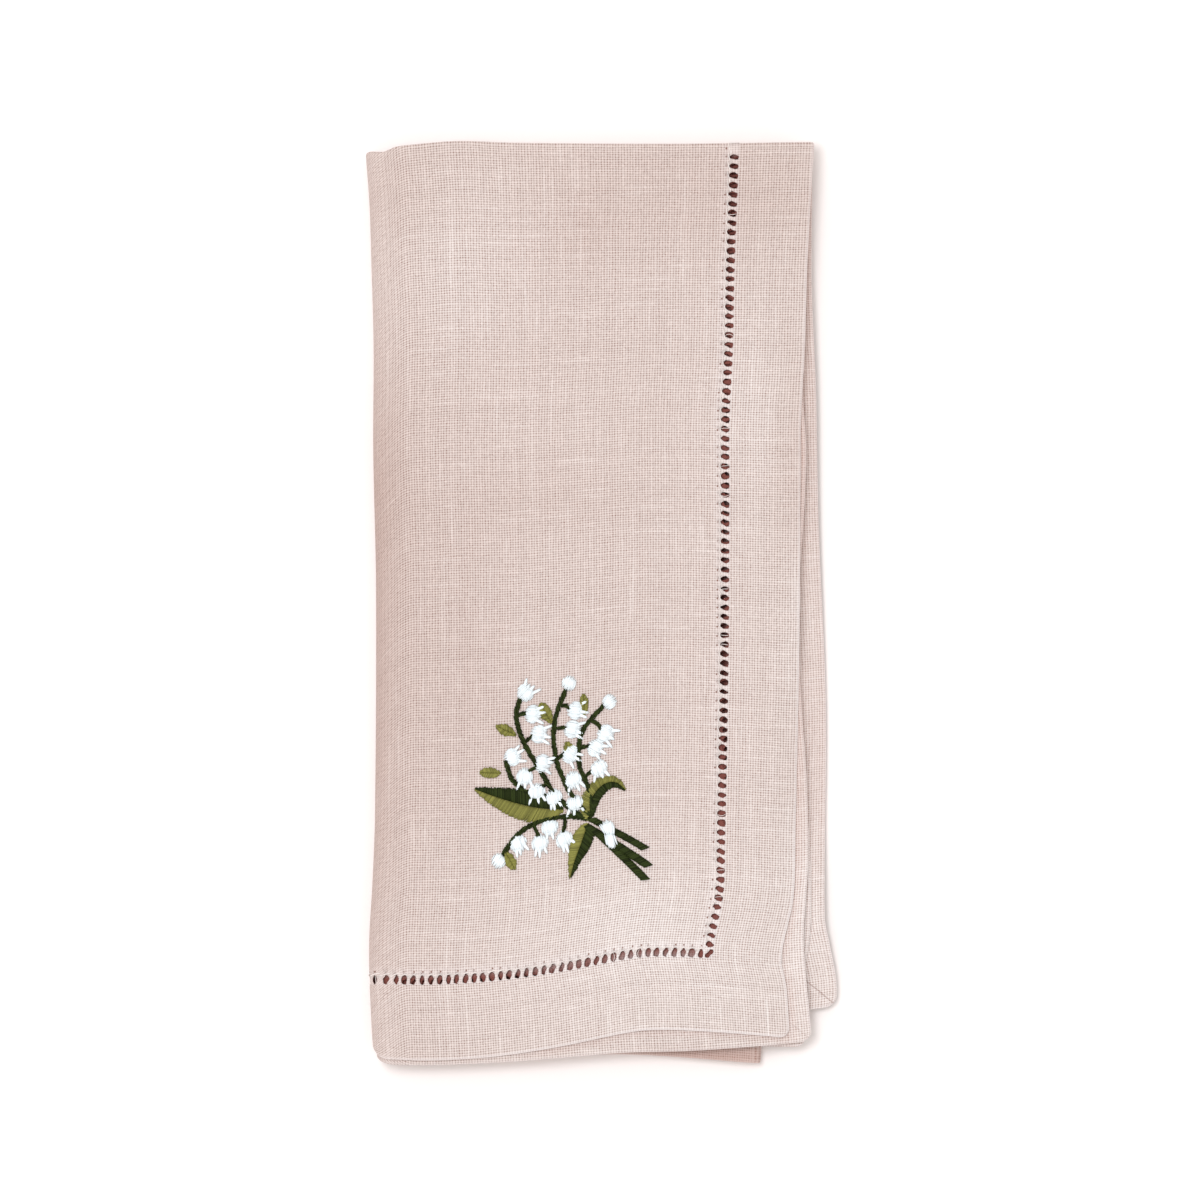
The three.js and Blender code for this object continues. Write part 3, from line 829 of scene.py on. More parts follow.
class Value:
    """A number that a material works out at each place. Arithmetic on it adds math nodes."""

    def __init__(self, shader, socket):
        self.shader = shader
        self.socket = socket

    def __add__(self, other):
        return self.shader.math("ADD", self, other)

    def __sub__(self, other):
        return self.shader.math("SUBTRACT", self, other)

    def __rsub__(self, other):
        return self.shader.math("SUBTRACT", other, self)

    def __mul__(self, other):
        return self.shader.math("MULTIPLY", self, other)

    def __truediv__(self, other):
        return self.shader.math("DIVIDE", self, other)

    def __abs__(self):
        return self.shader.math("ABSOLUTE", self)


class Shader:
    """A material under construction, with short ways to add nodes."""

    def __init__(self, name):
        self.material = bpy.data.materials.new(name)
        self.material.use_nodes = True
        self.tree = self.material.node_tree
        self.principled = self.tree.nodes["Principled BSDF"]

    def feed(self, socket, value):
        """Gives a socket a value, a link or a constant."""
        if isinstance(value, Value):
            value = value.socket
        if isinstance(value, bpy.types.NodeSocket):
            self.tree.links.new(value, socket)
        elif isinstance(value, tuple) and len(value) == 3 and len(socket.default_value) == 4:
            socket.default_value = (*value, 1)
        else:
            socket.default_value = value

    def node(self, kind, inputs, **settings):
        """A node's outputs, from its inputs by name or number and its own settings."""
        made = self.tree.nodes.new("ShaderNode" + kind)
        for name, value in settings.items():
            setattr(made, name, value)
        for name, value in inputs.items():
            self.feed(made.inputs[name], value)
        return made.outputs

    def math(self, operation, *values):
        return Value(self, self.node("Math", dict(enumerate(values)), operation=operation)[0])

    def vector(self, x, y, z):
        return self.node("CombineXYZ", {0: x, 1: y, 2: z})[0]

    def split(self, vector):
        """The first two numbers of a vector."""
        outputs = self.node("SeparateXYZ", {0: vector})
        return Value(self, outputs[0]), Value(self, outputs[1])

    def attribute(self, name):
        return Value(self, self.node("Attribute", {}, attribute_name=name)["Fac"])

    def uv_map(self, name):
        return self.node("UVMap", {}, uv_map=name)[0]

    def noise(self, vector, detail):
        return Value(self, self.node("TexNoise", {"Vector": vector, "Scale": 1.0, "Detail": detail})[0])

    def random(self, vector):
        return Value(self, self.node("TexWhiteNoise", {"Vector": vector}, noise_dimensions="3D")[0])

    def span(self, value, from_low, from_high, to_low, to_high):
        """A value moved from one range to another, held inside it."""
        places = {"Value": value, "From Min": from_low, "From Max": from_high}
        return Value(self, self.node("MapRange", places | {"To Min": to_low, "To Max": to_high})[0])

    def mix(self, share, first, second, blend="MIX"):
        return self.node("Mix", {0: share, 6: first, 7: second}, data_type="RGBA", blend_type=blend)[2]

    def toned(self, tone, colour):
        """A colour made darker or lighter by a tone below or above 0."""
        return self.mix(tone + 0.5, (0, 0, 0), tuple(2 * part for part in colour))

    def bump(self, height, strength, distance):
        return self.node("Bump", {"Height": height, "Strength": strength, "Distance": distance})[0]

    def set(self, **values):
        """Sets the Principled shader's own sockets."""
        for name, value in values.items():
            self.feed(self.principled.inputs[name.replace("_", " ")], value)


# Linen colour; painted highlight on thread crests; pale slubs; painted shade in dips, in pinholes and in the
# stack's hollows; painted warm shade; painted highlight on rims.
LINEN_COLOUR = (0.663, 0.566, 0.530)
CREST_HIGHLIGHT_COLOUR = (0.90, 0.85, 0.84)
SLUB_COLOUR = (0.90, 0.83, 0.80)
DIP_SHADE_COLOUR = (0.53, 0.42, 0.385)
GAP_SHADE_COLOUR = (0.22, 0.11, 0.085)
HOLLOW_SHADE_COLOUR = (0.30, 0.10, 0.08)
WARM_SHADE_COLOUR = (0.50, 0.26, 0.20)
RIM_HIGHLIGHT_COLOUR = (0.82, 0.735, 0.72)
RIM_SHARE = 0.5

# Threads: how far they wander, in threads, their half width as a share of the pitch, and its change.
WANDER = 0.6
WANDER_SCALE = (0.55, 0.10)
HALF_WIDTH = (0.37, 0.43)
WIDTH_CHANGE = 0.015

# Noise along a thread: the step to the next thread's, how quickly it changes, and its span.
NEXT_THREAD = 7.3
QUICK_SCALE = 1.1
QUICK_SPAN = (0.3, 0.7)

# A thread's height at its middle, and how far it rises and sinks over and under the others.
MIDDLE_HEIGHT = 0.55
WAVE_HEIGHT = 0.22

# Changes of tone: thread to thread, along a thread and at crossings. Dips get painted shade and crests a
# painted highlight.
OWN_TONE = 0.015
ALONG_TONE = 0.012
CROSSING_TONE = 0.025
DIP_SHARE = 0.32
CREST_SHARE = 0.13
CREST_SPAN = (0.55, 0.95)

# Slubs, the thick stretches of a thread: their paler share, their change along it, the span of the noise
# that makes them, how much they widen it, and the part of its profile that shows them.
SLUB_SHARE = 0.15
SLUB_SCALE = 0.05
SLUB_SPAN = (0.67, 0.77)
SLUB_WIDTH = 0.06
SLUB_PROFILE = (0.2, 0.7)

# Pinholes between threads, in painted shade: how open they are, and the heights of cloth that they fade in
# between.
OPENNESS = (0.52, 0.92)
GAP_HEIGHT = (0.16, 0.60)

# By the left fold the weft slopes: how far it is shifted there, and how far from the fold that reaches.
# The warp closes up there, filling a share of its gaps, and the painted shade in the weft's gaps and dips
# shows more.
SKEW = 10.0
SKEW_REACH = 13.0
FOLD_FILL = 0.8
FOLD_CONTRAST = 2.2

# How much of each mark on the linen shows, and how deep a seam is beside the threads.
MARK_SHARE = 0.95
SEAM_SHARE = 0.45
TUCK_SHARE = 0.35
SEAM_DEPTH = 2.0
WEAVE_BUMP_METRES = 0.0002


def linen_threads(shader, uv):
    """Warp and weft threads: place, number and distance from the middle, bent a little off straight."""
    u, v = shader.split(uv)
    nearness = shader.span(u, QUARTER_SIDE, QUARTER_SIDE + SKEW_REACH, 1, 0)
    on_fold = shader.span(abs(u - QUARTER_SIDE), 0, SKEW_REACH, 1, 0)
    flat = (u, v + nearness * nearness * SKEW)
    threads = {}
    for name, across, pitch in (("warp", 0, WARP_PITCH), ("weft", 1, WEFT_PITCH)):
        along = flat[1 - across]
        drift = shader.vector(flat[across] * WANDER_SCALE[0], along * WANDER_SCALE[1], 5.0 + across * 9)
        place = flat[across] * (1 / pitch) + (shader.noise(drift, 1.0) - 0.5) * WANDER
        middle = shader.math("FRACT", place) - 0.5
        if name == "warp":
            middle = middle * shader.span(on_fold, 0, 1, 1, 1 - FOLD_FILL)
        threads[name] = {
            "place": place,
            "number": shader.math("FLOOR", place),
            "from_middle": abs(middle),
            "along": along,
            "lot": 3.0 if name == "warp" else 47.0,
            "sign": 1 if name == "warp" else -1,
        }
    return threads, on_fold


def thread_relief(shader, thread, crossing):
    """Height, slub share, own tone and profile of one set of threads, crossed by the other."""
    number = thread["number"]
    lot = thread["lot"]
    own = shader.random(shader.vector(number, lot, 1.0))
    apart = number * NEXT_THREAD
    slow = shader.noise(shader.vector(apart, thread["along"] * SLUB_SCALE, lot), 0.0)
    quick = shader.noise(shader.vector(apart, thread["along"] * QUICK_SCALE, lot + 5), 1.0)
    slub = shader.span(slow, *SLUB_SPAN, 0, 1)
    half_width = shader.span(own, 0, 1, *HALF_WIDTH)
    half_width = half_width + shader.span(quick, *QUICK_SPAN, -WIDTH_CHANGE, WIDTH_CHANGE)
    half_width = half_width + slub * SLUB_WIDTH
    ratio = shader.math("MINIMUM", thread["from_middle"] / half_width, 1.0)
    profile = shader.math("SQRT", 1.0 - ratio * ratio)
    wave = shader.math("COSINE", (crossing["place"] - 0.5 + number) * math.pi)
    height = profile * (wave * (WAVE_HEIGHT * thread["sign"]) + MIDDLE_HEIGHT)
    tone = shader.span(own, 0, 1, -OWN_TONE, OWN_TONE)
    tone = tone + shader.span(quick, 0.25, 0.75, -ALONG_TONE, ALONG_TONE)
    return height, slub * shader.span(profile, *SLUB_PROFILE, 0, 1), tone, profile


def linen_weave(shader, uv):
    """Colour and height of the plain weave: threads over and under each other, with painted shade in the dips
    and pinholes and a painted highlight on the crests.
    """
    threads, on_fold = linen_threads(shader, uv)
    warp, weft = threads["warp"], threads["weft"]
    warp_height, warp_slub, warp_tone, warp_profile = thread_relief(shader, warp, weft)
    weft_height, weft_slub, weft_tone, weft_profile = thread_relief(shader, weft, warp)
    height = shader.math("MAXIMUM", warp_height, weft_height)
    is_warp = shader.math("GREATER_THAN", warp_height, weft_height)
    crossing = shader.random(shader.vector(warp["number"], weft["number"], 13.0))
    tone = weft_tone + is_warp * (warp_tone - weft_tone)
    tone = tone + shader.span(crossing, 0, 1, -CROSSING_TONE, CROSSING_TONE)
    colour = shader.toned(tone, LINEN_COLOUR)
    profile = shader.math("MINIMUM", warp_profile, weft_profile)
    contrast = shader.span(on_fold, 0, 1, 1, FOLD_CONTRAST)
    # Painted shade in the dips and a painted highlight on the crests.
    colour = shader.mix((1.0 - profile) * contrast * DIP_SHARE, colour, DIP_SHADE_COLOUR)
    colour = shader.mix(shader.span(profile, *CREST_SPAN, 0, CREST_SHARE), colour, CREST_HIGHLIGHT_COLOUR)
    colour = shader.mix(shader.math("MAXIMUM", warp_slub, weft_slub) * SLUB_SHARE, colour, SLUB_COLOUR)

    # Painted shade in the pinholes.
    corner = [shader.math("FLOOR", thread["place"] + 0.5) for thread in (warp, weft)]
    openness = shader.span(shader.random(shader.vector(*corner, 29.0)), 0, 1, *OPENNESS) * contrast
    gap = shader.span(height, *GAP_HEIGHT, 1, 0) * openness
    return shader.mix(gap, colour, GAP_SHADE_COLOUR), height


# Needle marks: their line's distance inside the band, their radius, their place along a hole, and the
# chances between which they begin to show.
NEEDLE_LINE = 0.95
NEEDLE_RADIUS = 0.36
NEEDLE_PLACE = (0.35, 0.65)
NEEDLE_CHANCE = (0.1, 0.6)


def needle_marks(shader, u, v):
    """Share of the small marks that the needle leaves beside the band, some of them faint."""
    along = shader.math("MINIMUM", u, v) / HOLE_PITCH
    number = shader.math("FLOOR", along)
    chance = shader.random(shader.vector(number, shader.math("GREATER_THAN", u, v), 7.0))
    beside = (along - number - shader.span(chance, 0, 1, *NEEDLE_PLACE)) * HOLE_PITCH
    across = shader.math("MAXIMUM", u, v) - (BAND_IN - NEEDLE_LINE)
    distance = shader.math("SQRT", beside * beside + across * across)
    mark = shader.span(distance, NEEDLE_RADIUS / 2, NEEDLE_RADIUS, 1, 0)
    return mark * shader.span(chance, *NEEDLE_CHANCE, 0, 1)


# Half a seam's width, then the tuck in a corner of the hem: its distance from the side edge, its length and
# half its width.
SEAM_HALF = 0.28
TUCK_INSET = 6.6
TUCK_LENGTH = 11
TUCK_HALF = 0.26


def mitre_seam(shader, u, v):
    """Share of the seam where two turned hems meet on the reverse, on the diagonals of the corners."""
    in_corner = shader.math("GREATER_THAN", shader.math("MINIMUM", u, v), BAND_OUT)
    seam = shader.span(abs(u - v), SEAM_HALF / 2, SEAM_HALF, 1, 0)
    return seam * in_corner * shader.attribute("reverse")


def corner_tuck(shader, u, v):
    """Share of the pale line that the turned corner of the hem presses into the cloth."""
    line = shader.span(abs(u - (HALF_SIDE - TUCK_INSET)), TUCK_HALF / 2, TUCK_HALF, 1, 0)
    start = HALF_SIDE - TUCK_LENGTH
    in_reach = shader.span(v, start, start + 1, 0, 1)
    return line * in_reach * shader.math("LESS_THAN", shader.attribute("reverse"), 0.1)


def linen_material():
    """The linen: its weave, painted highlights on the rims and the same pale colour on the bundles, needle
    marks, seams, painted shade in the stack's hollows, painted warm shade, and painted shade and light as
    soft changes of tone.
    """
    shader = Shader("linen")
    uv = shader.uv_map("weave")
    u, v = (abs(place) for place in shader.split(uv))
    seam = mitre_seam(shader, u, v)
    colour, height = linen_weave(shader, uv)
    # Over the weave: the rims' painted highlight, needle marks and the mitre seam's groove in the pinholes'
    # painted shade, the pale tuck, the painted warm shade and the painted shade of the hollows.
    for share, over in (
        (shader.attribute("rim") * RIM_SHARE, RIM_HIGHLIGHT_COLOUR),
        (needle_marks(shader, u, v) * MARK_SHARE, GAP_SHADE_COLOUR),
        (seam * SEAM_SHARE, GAP_SHADE_COLOUR),
        (corner_tuck(shader, u, v) * TUCK_SHARE, SLUB_COLOUR),
        (shader.attribute("warm"), WARM_SHADE_COLOUR),
        (shader.attribute("hollow_shade"), HOLLOW_SHADE_COLOUR),
    ):
        colour = shader.mix(share, colour, over)
    # The tone attribute carries painted shade and light.
    tone = shader.attribute("tone")
    tones = [shader.math("POWER", tone, power) for power in TONE_POWERS]
    colour = shader.mix(1.0, colour, shader.node("CombineColor", dict(enumerate(tones)))[0], "MULTIPLY")
    bump = shader.bump(height - seam * SEAM_DEPTH, 0.5, WEAVE_BUMP_METRES)
    shader.set(Base_Color=colour, Roughness=0.92, Normal=bump, Sheen_Weight=0.08, Sheen_Roughness=0.5,
               Specular_IOR_Level=0.2)
    return shader.material


# Embroidery thread: the stretch of its fibres, their noise and change of tone, and their bump.
FIBRE_SCALE = (1.2, 26, 1)
FIBRE_SPAN = (0.3, 0.7)
FIBRE_TONE = 0.06
FIBRE_BUMP_METRES = 0.00008


def thread_material(name, colour, tint_range, flank_shade, specular):
    """Embroidery thread: fine fibres along each strand, painted shade on its flanks, changes from strand to
    strand.
    """
    shader = Shader(name)
    uv = shader.uv_map("strand")
    stretched = shader.node("VectorMath", {0: uv, 1: FIBRE_SCALE}, operation="MULTIPLY")[0]
    fibre = shader.noise(stretched, 3.0)
    tone = shader.attribute("tint") * tint_range + shader.span(fibre, *FIBRE_SPAN, -FIBRE_TONE, FIBRE_TONE)
    # Painted shade on the strand's flanks, from its height round the strand.
    tone = tone + shader.span(shader.attribute("crown"), -0.3, 0.9, -flank_shade, 0.0)
    bump = shader.bump(fibre, 0.4, FIBRE_BUMP_METRES)
    mixed = shader.toned(tone, colour)
    shader.set(Base_Color=mixed, Roughness=0.55, Normal=bump, Specular_IOR_Level=specular)
    return shader.material


# A strand of thread is a flattened tube: steps along it, sides round it, the power of a half wave that it
# arches by, and how far on the pattern of its fibres starts from that of the strand before.
STRAND_STEPS = 6
STRAND_SIDES = 5
STRAND_FLATNESS = 0.8
STRAND_ARCH = 0.7
NEXT_STRAND = 9.7


class Strands:
    """Strands of one thread, laid on the right side of the flat cloth, then folded with it."""

    def __init__(self, name, material, slot, seed):
        self.name = name
        self.material = material
        self.slot = slot
        self.rng = random.Random(seed)
        self.lines = []
        self.radii = []
        self.tints = []

    def lay(self, start, end, radius, low, high, bow=0.0, tip=0.5):
        """One strand between two flat places, rising from low at its ends to high at its middle."""
        t = np.linspace(0, 1, STRAND_STEPS + 1)
        arch = np.sin(math.pi * t)
        dx, dy = end[0] - start[0], end[1] - start[1]
        u = start[0] + dx * t - dy * bow * arch
        v = start[1] + dy * t + dx * bow * arch
        self.lines.append(np.stack([u, v, lerp(low, high, arch ** STRAND_ARCH)], axis=1))
        self.radii.append(radius * lerp(tip, 1, np.sqrt(arch)))
        self.tints.append(self.rng.uniform(-1, 1))

    def jitter(self, size):
        """A random length up to a size, either way."""
        return self.rng.uniform(-size, size)

    def make(self):
        """The joined mesh of all the strands."""
        lines = np.array(self.lines)
        radii = np.array(self.radii)[..., None]
        direction = np.gradient(lines[..., :2], axis=1)
        direction /= np.maximum(np.linalg.norm(direction, axis=2, keepdims=True), 1e-9)
        angles = np.arange(STRAND_SIDES) * math.tau / STRAND_SIDES
        across = radii * np.cos(angles)
        u = lines[..., 0, None] - direction[..., 1, None] * across
        v = lines[..., 1, None] + direction[..., 0, None] * across
        height = lines[..., 2, None] + radii * np.sin(angles) * STRAND_FLATNESS + LINEN / 2
        points = on_cloth(u.ravel(), v.ravel(), height.ravel())
        number = np.arange(u.size).reshape(u.shape)
        beside = np.roll(number, -1, axis=2)
        walls = np.stack([number[:, :-1], number[:, 1:], beside[:, 1:], beside[:, :-1]], axis=-1)
        faces = walls.reshape(-1, 4).tolist() + number[:, 0].tolist() + number[:, -1, ::-1].tolist()
        piece = new_piece(self.name, points, faces, self.material)
        strand, step, side = np.indices(u.shape)
        strand_uv = np.stack([step + strand * NEXT_STRAND, side / STRAND_SIDES], axis=-1)
        set_uv(piece.data, "strand", strand_uv.reshape(-1, 2))
        set_attribute(piece.data, "tint", np.array(self.tints)[strand].ravel())
        set_attribute(piece.data, "crown", np.sin(angles)[side].ravel())


# A path's samples between two of its points, and the step that its direction is measured over.
PATH_SAMPLES = 60
PATH_STEP = 0.2


def smooth_path(points):
    """A smooth path through given points: its place and its normal by distance, and its length."""
    points = np.array(points, float)
    padded = np.vstack([2 * points[0] - points[1], points, 2 * points[-1] - points[-2]])
    t = np.linspace(0, 1, PATH_SAMPLES, endpoint=False)[:, None]
    pieces = []
    for a, b, c, d in zip(padded, padded[1:], padded[2:], padded[3:]):
        slope = (c - a) * t
        bend = (2 * a - 5 * b + 4 * c - d) * t ** 2
        twist = (3 * b - a - 3 * c + d) * t ** 3
        pieces.append(b + (slope + bend + twist) / 2)
    line = np.vstack(pieces + [points[-1:]])
    lengths = np.concatenate([[0], np.cumsum(np.linalg.norm(np.diff(line, axis=0), axis=1))])

    def at(distance):
        return np.array([np.interp(distance, lengths, column) for column in line.T])

    def normal(distance):
        middle = min(max(distance, 0), lengths[-1])
        step = at(min(middle + PATH_STEP, lengths[-1])) - at(max(middle - PATH_STEP, 0))
        step /= np.linalg.norm(step)
        return np.array([-step[1], step[0]])

    return at, normal, lengths[-1]


# The posy lies in its own frame: millimetres from its tie on the flat cloth, x across and y up.
TIE = (198.2, -196.6)
POSY_SLOPE = 0.06

# Its threads: colour, change from strand to strand, how dark the painted shade on their flanks is, and shine.
POSY_THREADS = {
    "white": ((0.86, 0.92, 0.95), 0.05, 0.16, 0.3),
    "dark_green": ((0.024, 0.034, 0.008), 0.26, 0.3, 0.06),
    "olive": ((0.225, 0.215, 0.055), 0.15, 0.2, 0.1),
}
POSY_SEED = 21

# Satin stitch: the radius of a strand, and the distance from one to the next.
SATIN = 0.22
SATIN_GAP = 0.36

# How far the ends of a stitch stray: at its start, at its end, sideways, and in height.
STRAY_START = 0.18
STRAY_END = 0.22
STRAY_SIDE = 0.1
STRAY_HEIGHT = 0.08

# Flower stems from their lower end to their tip.
STEMS = {
    "left": [(-7.6, 5.4), (-15.6, 11.6), (-20.6, 19.0), (-26.2, 27.8), (-28.4, 35.0), (-27.2, 39.8)],
    "middle": [(-5.8, 5.6), (-11.6, 12.4), (-16.0, 21.4), (-17.2, 30.2), (-15.8, 36.8), (-13.6, 42.0)],
    "right": [(-4.8, 6.4), (-6.4, 13.4), (-9.4, 20.8), (-9.0, 28.8), (-5.6, 33.6), (-2.2, 36.6)],
    "short": [(-24.4, 13.0), (-29.4, 17.4), (-31.4, 22.8)],
    "drooping": [(-5.4, 4.8), (-12.6, 6.2), (-20.6, 5.4), (-27.2, 2.2), (-32.0, -3.6)],
}

# Bells: stem, share of its length, twig sideways in millimetres (left above 0), angle of the mouth, prongs.
BELLS = [
    ("left", 1.00, 0.0, 46, 3),
    ("left", 0.88, -5.0, -2, 3),
    ("left", 0.69, -5.0, -10, 3),
    ("left", 0.50, 4.8, -96, 3),
    ("left", 0.36, 4.0, -82, 3),
    ("middle", 1.00, 0.0, 62, 0),
    ("middle", 0.88, -5.2, -8, 3),
    ("middle", 0.71, -5.6, -14, 3),
    ("middle", 0.50, 4.2, -10, 3),
    ("middle", 0.50, -4.4, -34, 3),
    ("middle", 0.30, -2.4, -66, 3),
    ("right", 1.00, 0.0, 32, 0),
    ("right", 0.84, -6.2, -26, 3),
    ("right", 0.58, -5.0, -34, 3),
    ("right", 0.32, -5.0, -66, 3),
    ("left", 0.26, 0.8, -76, 3),
    ("short", 1.00, 0.0, 20, 3),
    ("drooping", 0.27, 6.4, -62, 3),
    ("drooping", 0.43, 2.4, -78, 2),
    ("drooping", 0.19, -3.6, -84, 3),
    ("drooping", 0.59, 5.8, -80, 3),
    ("drooping", 0.82, 1.9, -68, 3),
    ("drooping", 1.00, 0.0, -122, 0),
]
BELL_LENGTH = 5.3
BELL_WIDTH = 5.1
BUD_SIZE = 0.84
BELL_STRAND = SATIN * 1.05

# A bell's two layers: share of its size, height of its strands' ends, and of its dome over its sides.
BELL_LAYERS = [(1.0, 0.1, 0.45), (0.72, 0.3, 0.73)]
BELL_SIDES = 0.25

# Prongs: degrees apart and how far each strays, their roots and their reach in halves of the bell, the
# millimetres beyond that and how far those vary, and the height of a prong's ends and middle.
PRONG_SPREAD = 21
PRONG_TURN = 7
PRONG_ROOT = {"forward": 0.35, "sideways": 1.5}
PRONG_SHARE = 0.6
PRONG_REACH = 1.3
PRONG_RAGGED = 0.45
PRONG_HEIGHTS = (0.2, 0.5)

# A prong's three strands: how far apart, the share of that at the tip, and how much shorter the outer are.
PRONG_STRANDS = 0.3
PRONG_TAPER = 0.6
PRONG_STEP = 0.25

# Small leaves: middle x and y, angle of the tip, length and width.
SMALL_LEAVES = [
    (-31.4, 31.0, 156, 6.8, 3.1),
    (-19.6, 35.6, 122, 7.0, 3.6),
    (-8.2, 37.4, 94, 6.2, 2.8),
    (-36.0, 19.2, 178, 6.6, 3.1),
    (-12.4, 24.6, 112, 6.0, 3.0),
    (-29.6, -5.2, -58, 6.2, 3.2),
]

# Large leaves: the line between their halves, how far stitches lean towards the tip, and for each half its
# thread, its width (above 0 to the left of the line as it runs) and the power that moves its widest place.
LARGE_LEAVES = [
    {"line": [(-13.8, 8.2), (-22.0, 9.2), (-31.0, 11.6), (-41.0, 14.8)], "lean": 1.6,
     "halves": [("olive", 4.3, 0.62), ("dark_green", -4.6, 0.55)]},
    {"line": [(-6.2, 4.4), (-5.4, 10.6), (-2.2, 14.2), (1.6, 14.6), (5.0, 12.0)], "lean": 0.5,
     "halves": [("olive", 3.2, 0.5), ("dark_green", -2.6, 0.75)]},
    {"line": [(-6.4, 3.8), (-8.6, -2.2), (-10.4, -7.0), (-11.6, -11.6)], "lean": 1.4,
     "halves": [("dark_green", 3.2, 0.4), ("olive", -3.2, 0.5)]},
]

# Stalks under the tie: start x and y, end x and y, half width.
STALKS = [
    (-5.4, 4.8, 11.0, -4.8, 1.0),
    (-7.0, 3.0, 12.0, -9.8, 1.15),
    (-2.4, -0.4, 11.2, -13.6, 1.1),
]


def direction_of(degrees):
    """A unit step at an angle."""
    return np.array([math.cos(math.radians(degrees)), math.sin(math.radians(degrees))])


def stitch(thread, start, end, radius, low, high, tip=0.5):
    """One strand of the posy, between two places in its own frame."""
    ends = [(TIE[0] + x, TIE[1] + y - POSY_SLOPE * x) for x, y in (start, end)]
    thread.lay(*ends, radius, low, high, tip=tip)


# Stems and twigs are ropes of slanted stitches: half a rope's width and its height, a stitch's length and
# the distance to the next, the lanes and the slant in half widths, a strand's radius, and the gap at the end.
STEM_ROPE = (0.66, 0.42)
TWIG_ROPE = (0.46, 0.34)
STEM_STITCH = 1.9
STEM_PITCH = 0.62
STEM_LANES = (-0.4, 0.4)
STEM_SLANT = 0.6
STEM_STRAND = 0.25
STEM_END = 0.4


def stem_stitch(thread, path, half_width, height):
    """A rope of short slanted stitches along a path, its sides a little ragged."""
    at, normal, length = path
    distance = 0.0
    while distance < length - STEM_END:
        end = min(distance + STEM_STITCH, length)
        for lane in STEM_LANES:
            places = []
            for place, slant in ((distance, -STEM_SLANT), (end, STEM_SLANT)):
                sideways = (lane + slant) * half_width + thread.jitter(STRAY_START)
                places.append(at(place) + normal(place) * sideways)
            stitch(thread, *places, STEM_STRAND, STRAY_HEIGHT, height + thread.jitter(STRAY_HEIGHT))
        distance += STEM_PITCH + thread.jitter(STRAY_HEIGHT)


def bell(thread, centre, angle, prongs, size):
    """A bell of satin stitch: a dome of strands towards its mouth, with short prongs beyond."""
    facing = direction_of(angle)
    across = direction_of(angle + 90)
    half_width = BELL_WIDTH / 2 * size
    half_length = BELL_LENGTH / 2 * size
    count = int(2 * half_width / SATIN_GAP)
    for share, low, dome in BELL_LAYERS:
        for i in range(count):
            offset = (2 * (i + 0.5) / count - 1) * share
            roundness = math.sqrt(1 - offset ** 2)
            middle = centre + across * offset * half_width
            ends = []
            for way, stray in ((-1, STRAY_START), (1, STRAY_END)):
                reach = half_length * share * roundness + thread.jitter(stray)
                ends.append(middle + facing * way * reach + across * thread.jitter(STRAY_SIDE))
            stitch(thread, *ends, BELL_STRAND, low, BELL_SIDES + dome * roundness)
    for prong in range(prongs):
        spread = (prong - (prongs - 1) / 2) * PRONG_SPREAD + thread.jitter(PRONG_TURN)
        point = direction_of(angle + spread)
        sideways = math.sin(math.radians(spread)) * half_width * PRONG_ROOT["sideways"]
        root = centre + facing * half_length * PRONG_ROOT["forward"] + across * sideways
        reach = half_length * PRONG_SHARE + PRONG_REACH + thread.jitter(PRONG_RAGGED)
        for strand in (-1, 0, 1):
            apart = across * strand * PRONG_STRANDS
            tip = root + point * (reach - PRONG_STEP * abs(strand)) + apart * PRONG_TAPER
            stitch(thread, root + apart, tip, SATIN, *PRONG_HEIGHTS)


# Leaves: where a half starts, its shortest stitch, its reach over the line, its fullness, and its strands'
# radius, pitch and heights, with how far the height varies.
LEAF_START = 0.15
LEAF_LEAST = 0.3
LEAF_OVERLAP = 0.05
LEAF_FULLNESS = 0.8
LEAF_STRAND = SATIN * 1.1
LEAF_PITCH = SATIN_GAP * 0.92
LEAF_HEIGHTS = (0.12, 0.42)
LEAF_RAGGED = 0.05
SATIN_TIP = 0.6


def satin_half(thread, path, width, fullness, lean):
    """Half of a leaf: strands from its middle line out to its edge, slanted towards the tip."""
    at, normal, length = path
    distance = LEAF_START
    while distance < length:
        share = distance / length
        reach = width * math.sin(math.pi * share ** fullness) ** LEAF_FULLNESS
        if abs(reach) > LEAF_LEAST:
            outer = min(distance + lean * abs(reach) / abs(width), length)
            start = at(distance) + normal(distance) * math.copysign(LEAF_OVERLAP, -width)
            end = at(outer) + normal(outer) * (reach + thread.jitter(STRAY_END))
            low, high = LEAF_HEIGHTS
            stitch(thread, start, end, LEAF_STRAND, low, high + thread.jitter(LEAF_RAGGED), SATIN_TIP)
        distance += LEAF_PITCH


def small_leaf(thread, x, y, angle, length, width):
    """A small pointed leaf of two slanted rows of satin stitch."""
    facing = direction_of(angle) * length / 2
    centre = np.array([x, y])
    path = smooth_path([centre - facing, centre, centre + facing])
    for side in (-1, 1):
        satin_half(thread, path, side * width / 2, 0.8, 0.8)


# Stalks: the slant of their stitches, their width's share at the start, and the strands' radius, pitch and
# heights.
STALK_SLANT = 0.9
STALK_NARROW = 0.85
STALK_STRAND = SATIN * 1.15
STALK_PITCH = SATIN_GAP * 0.9
STALK_HEIGHTS = (0.1, 0.52)


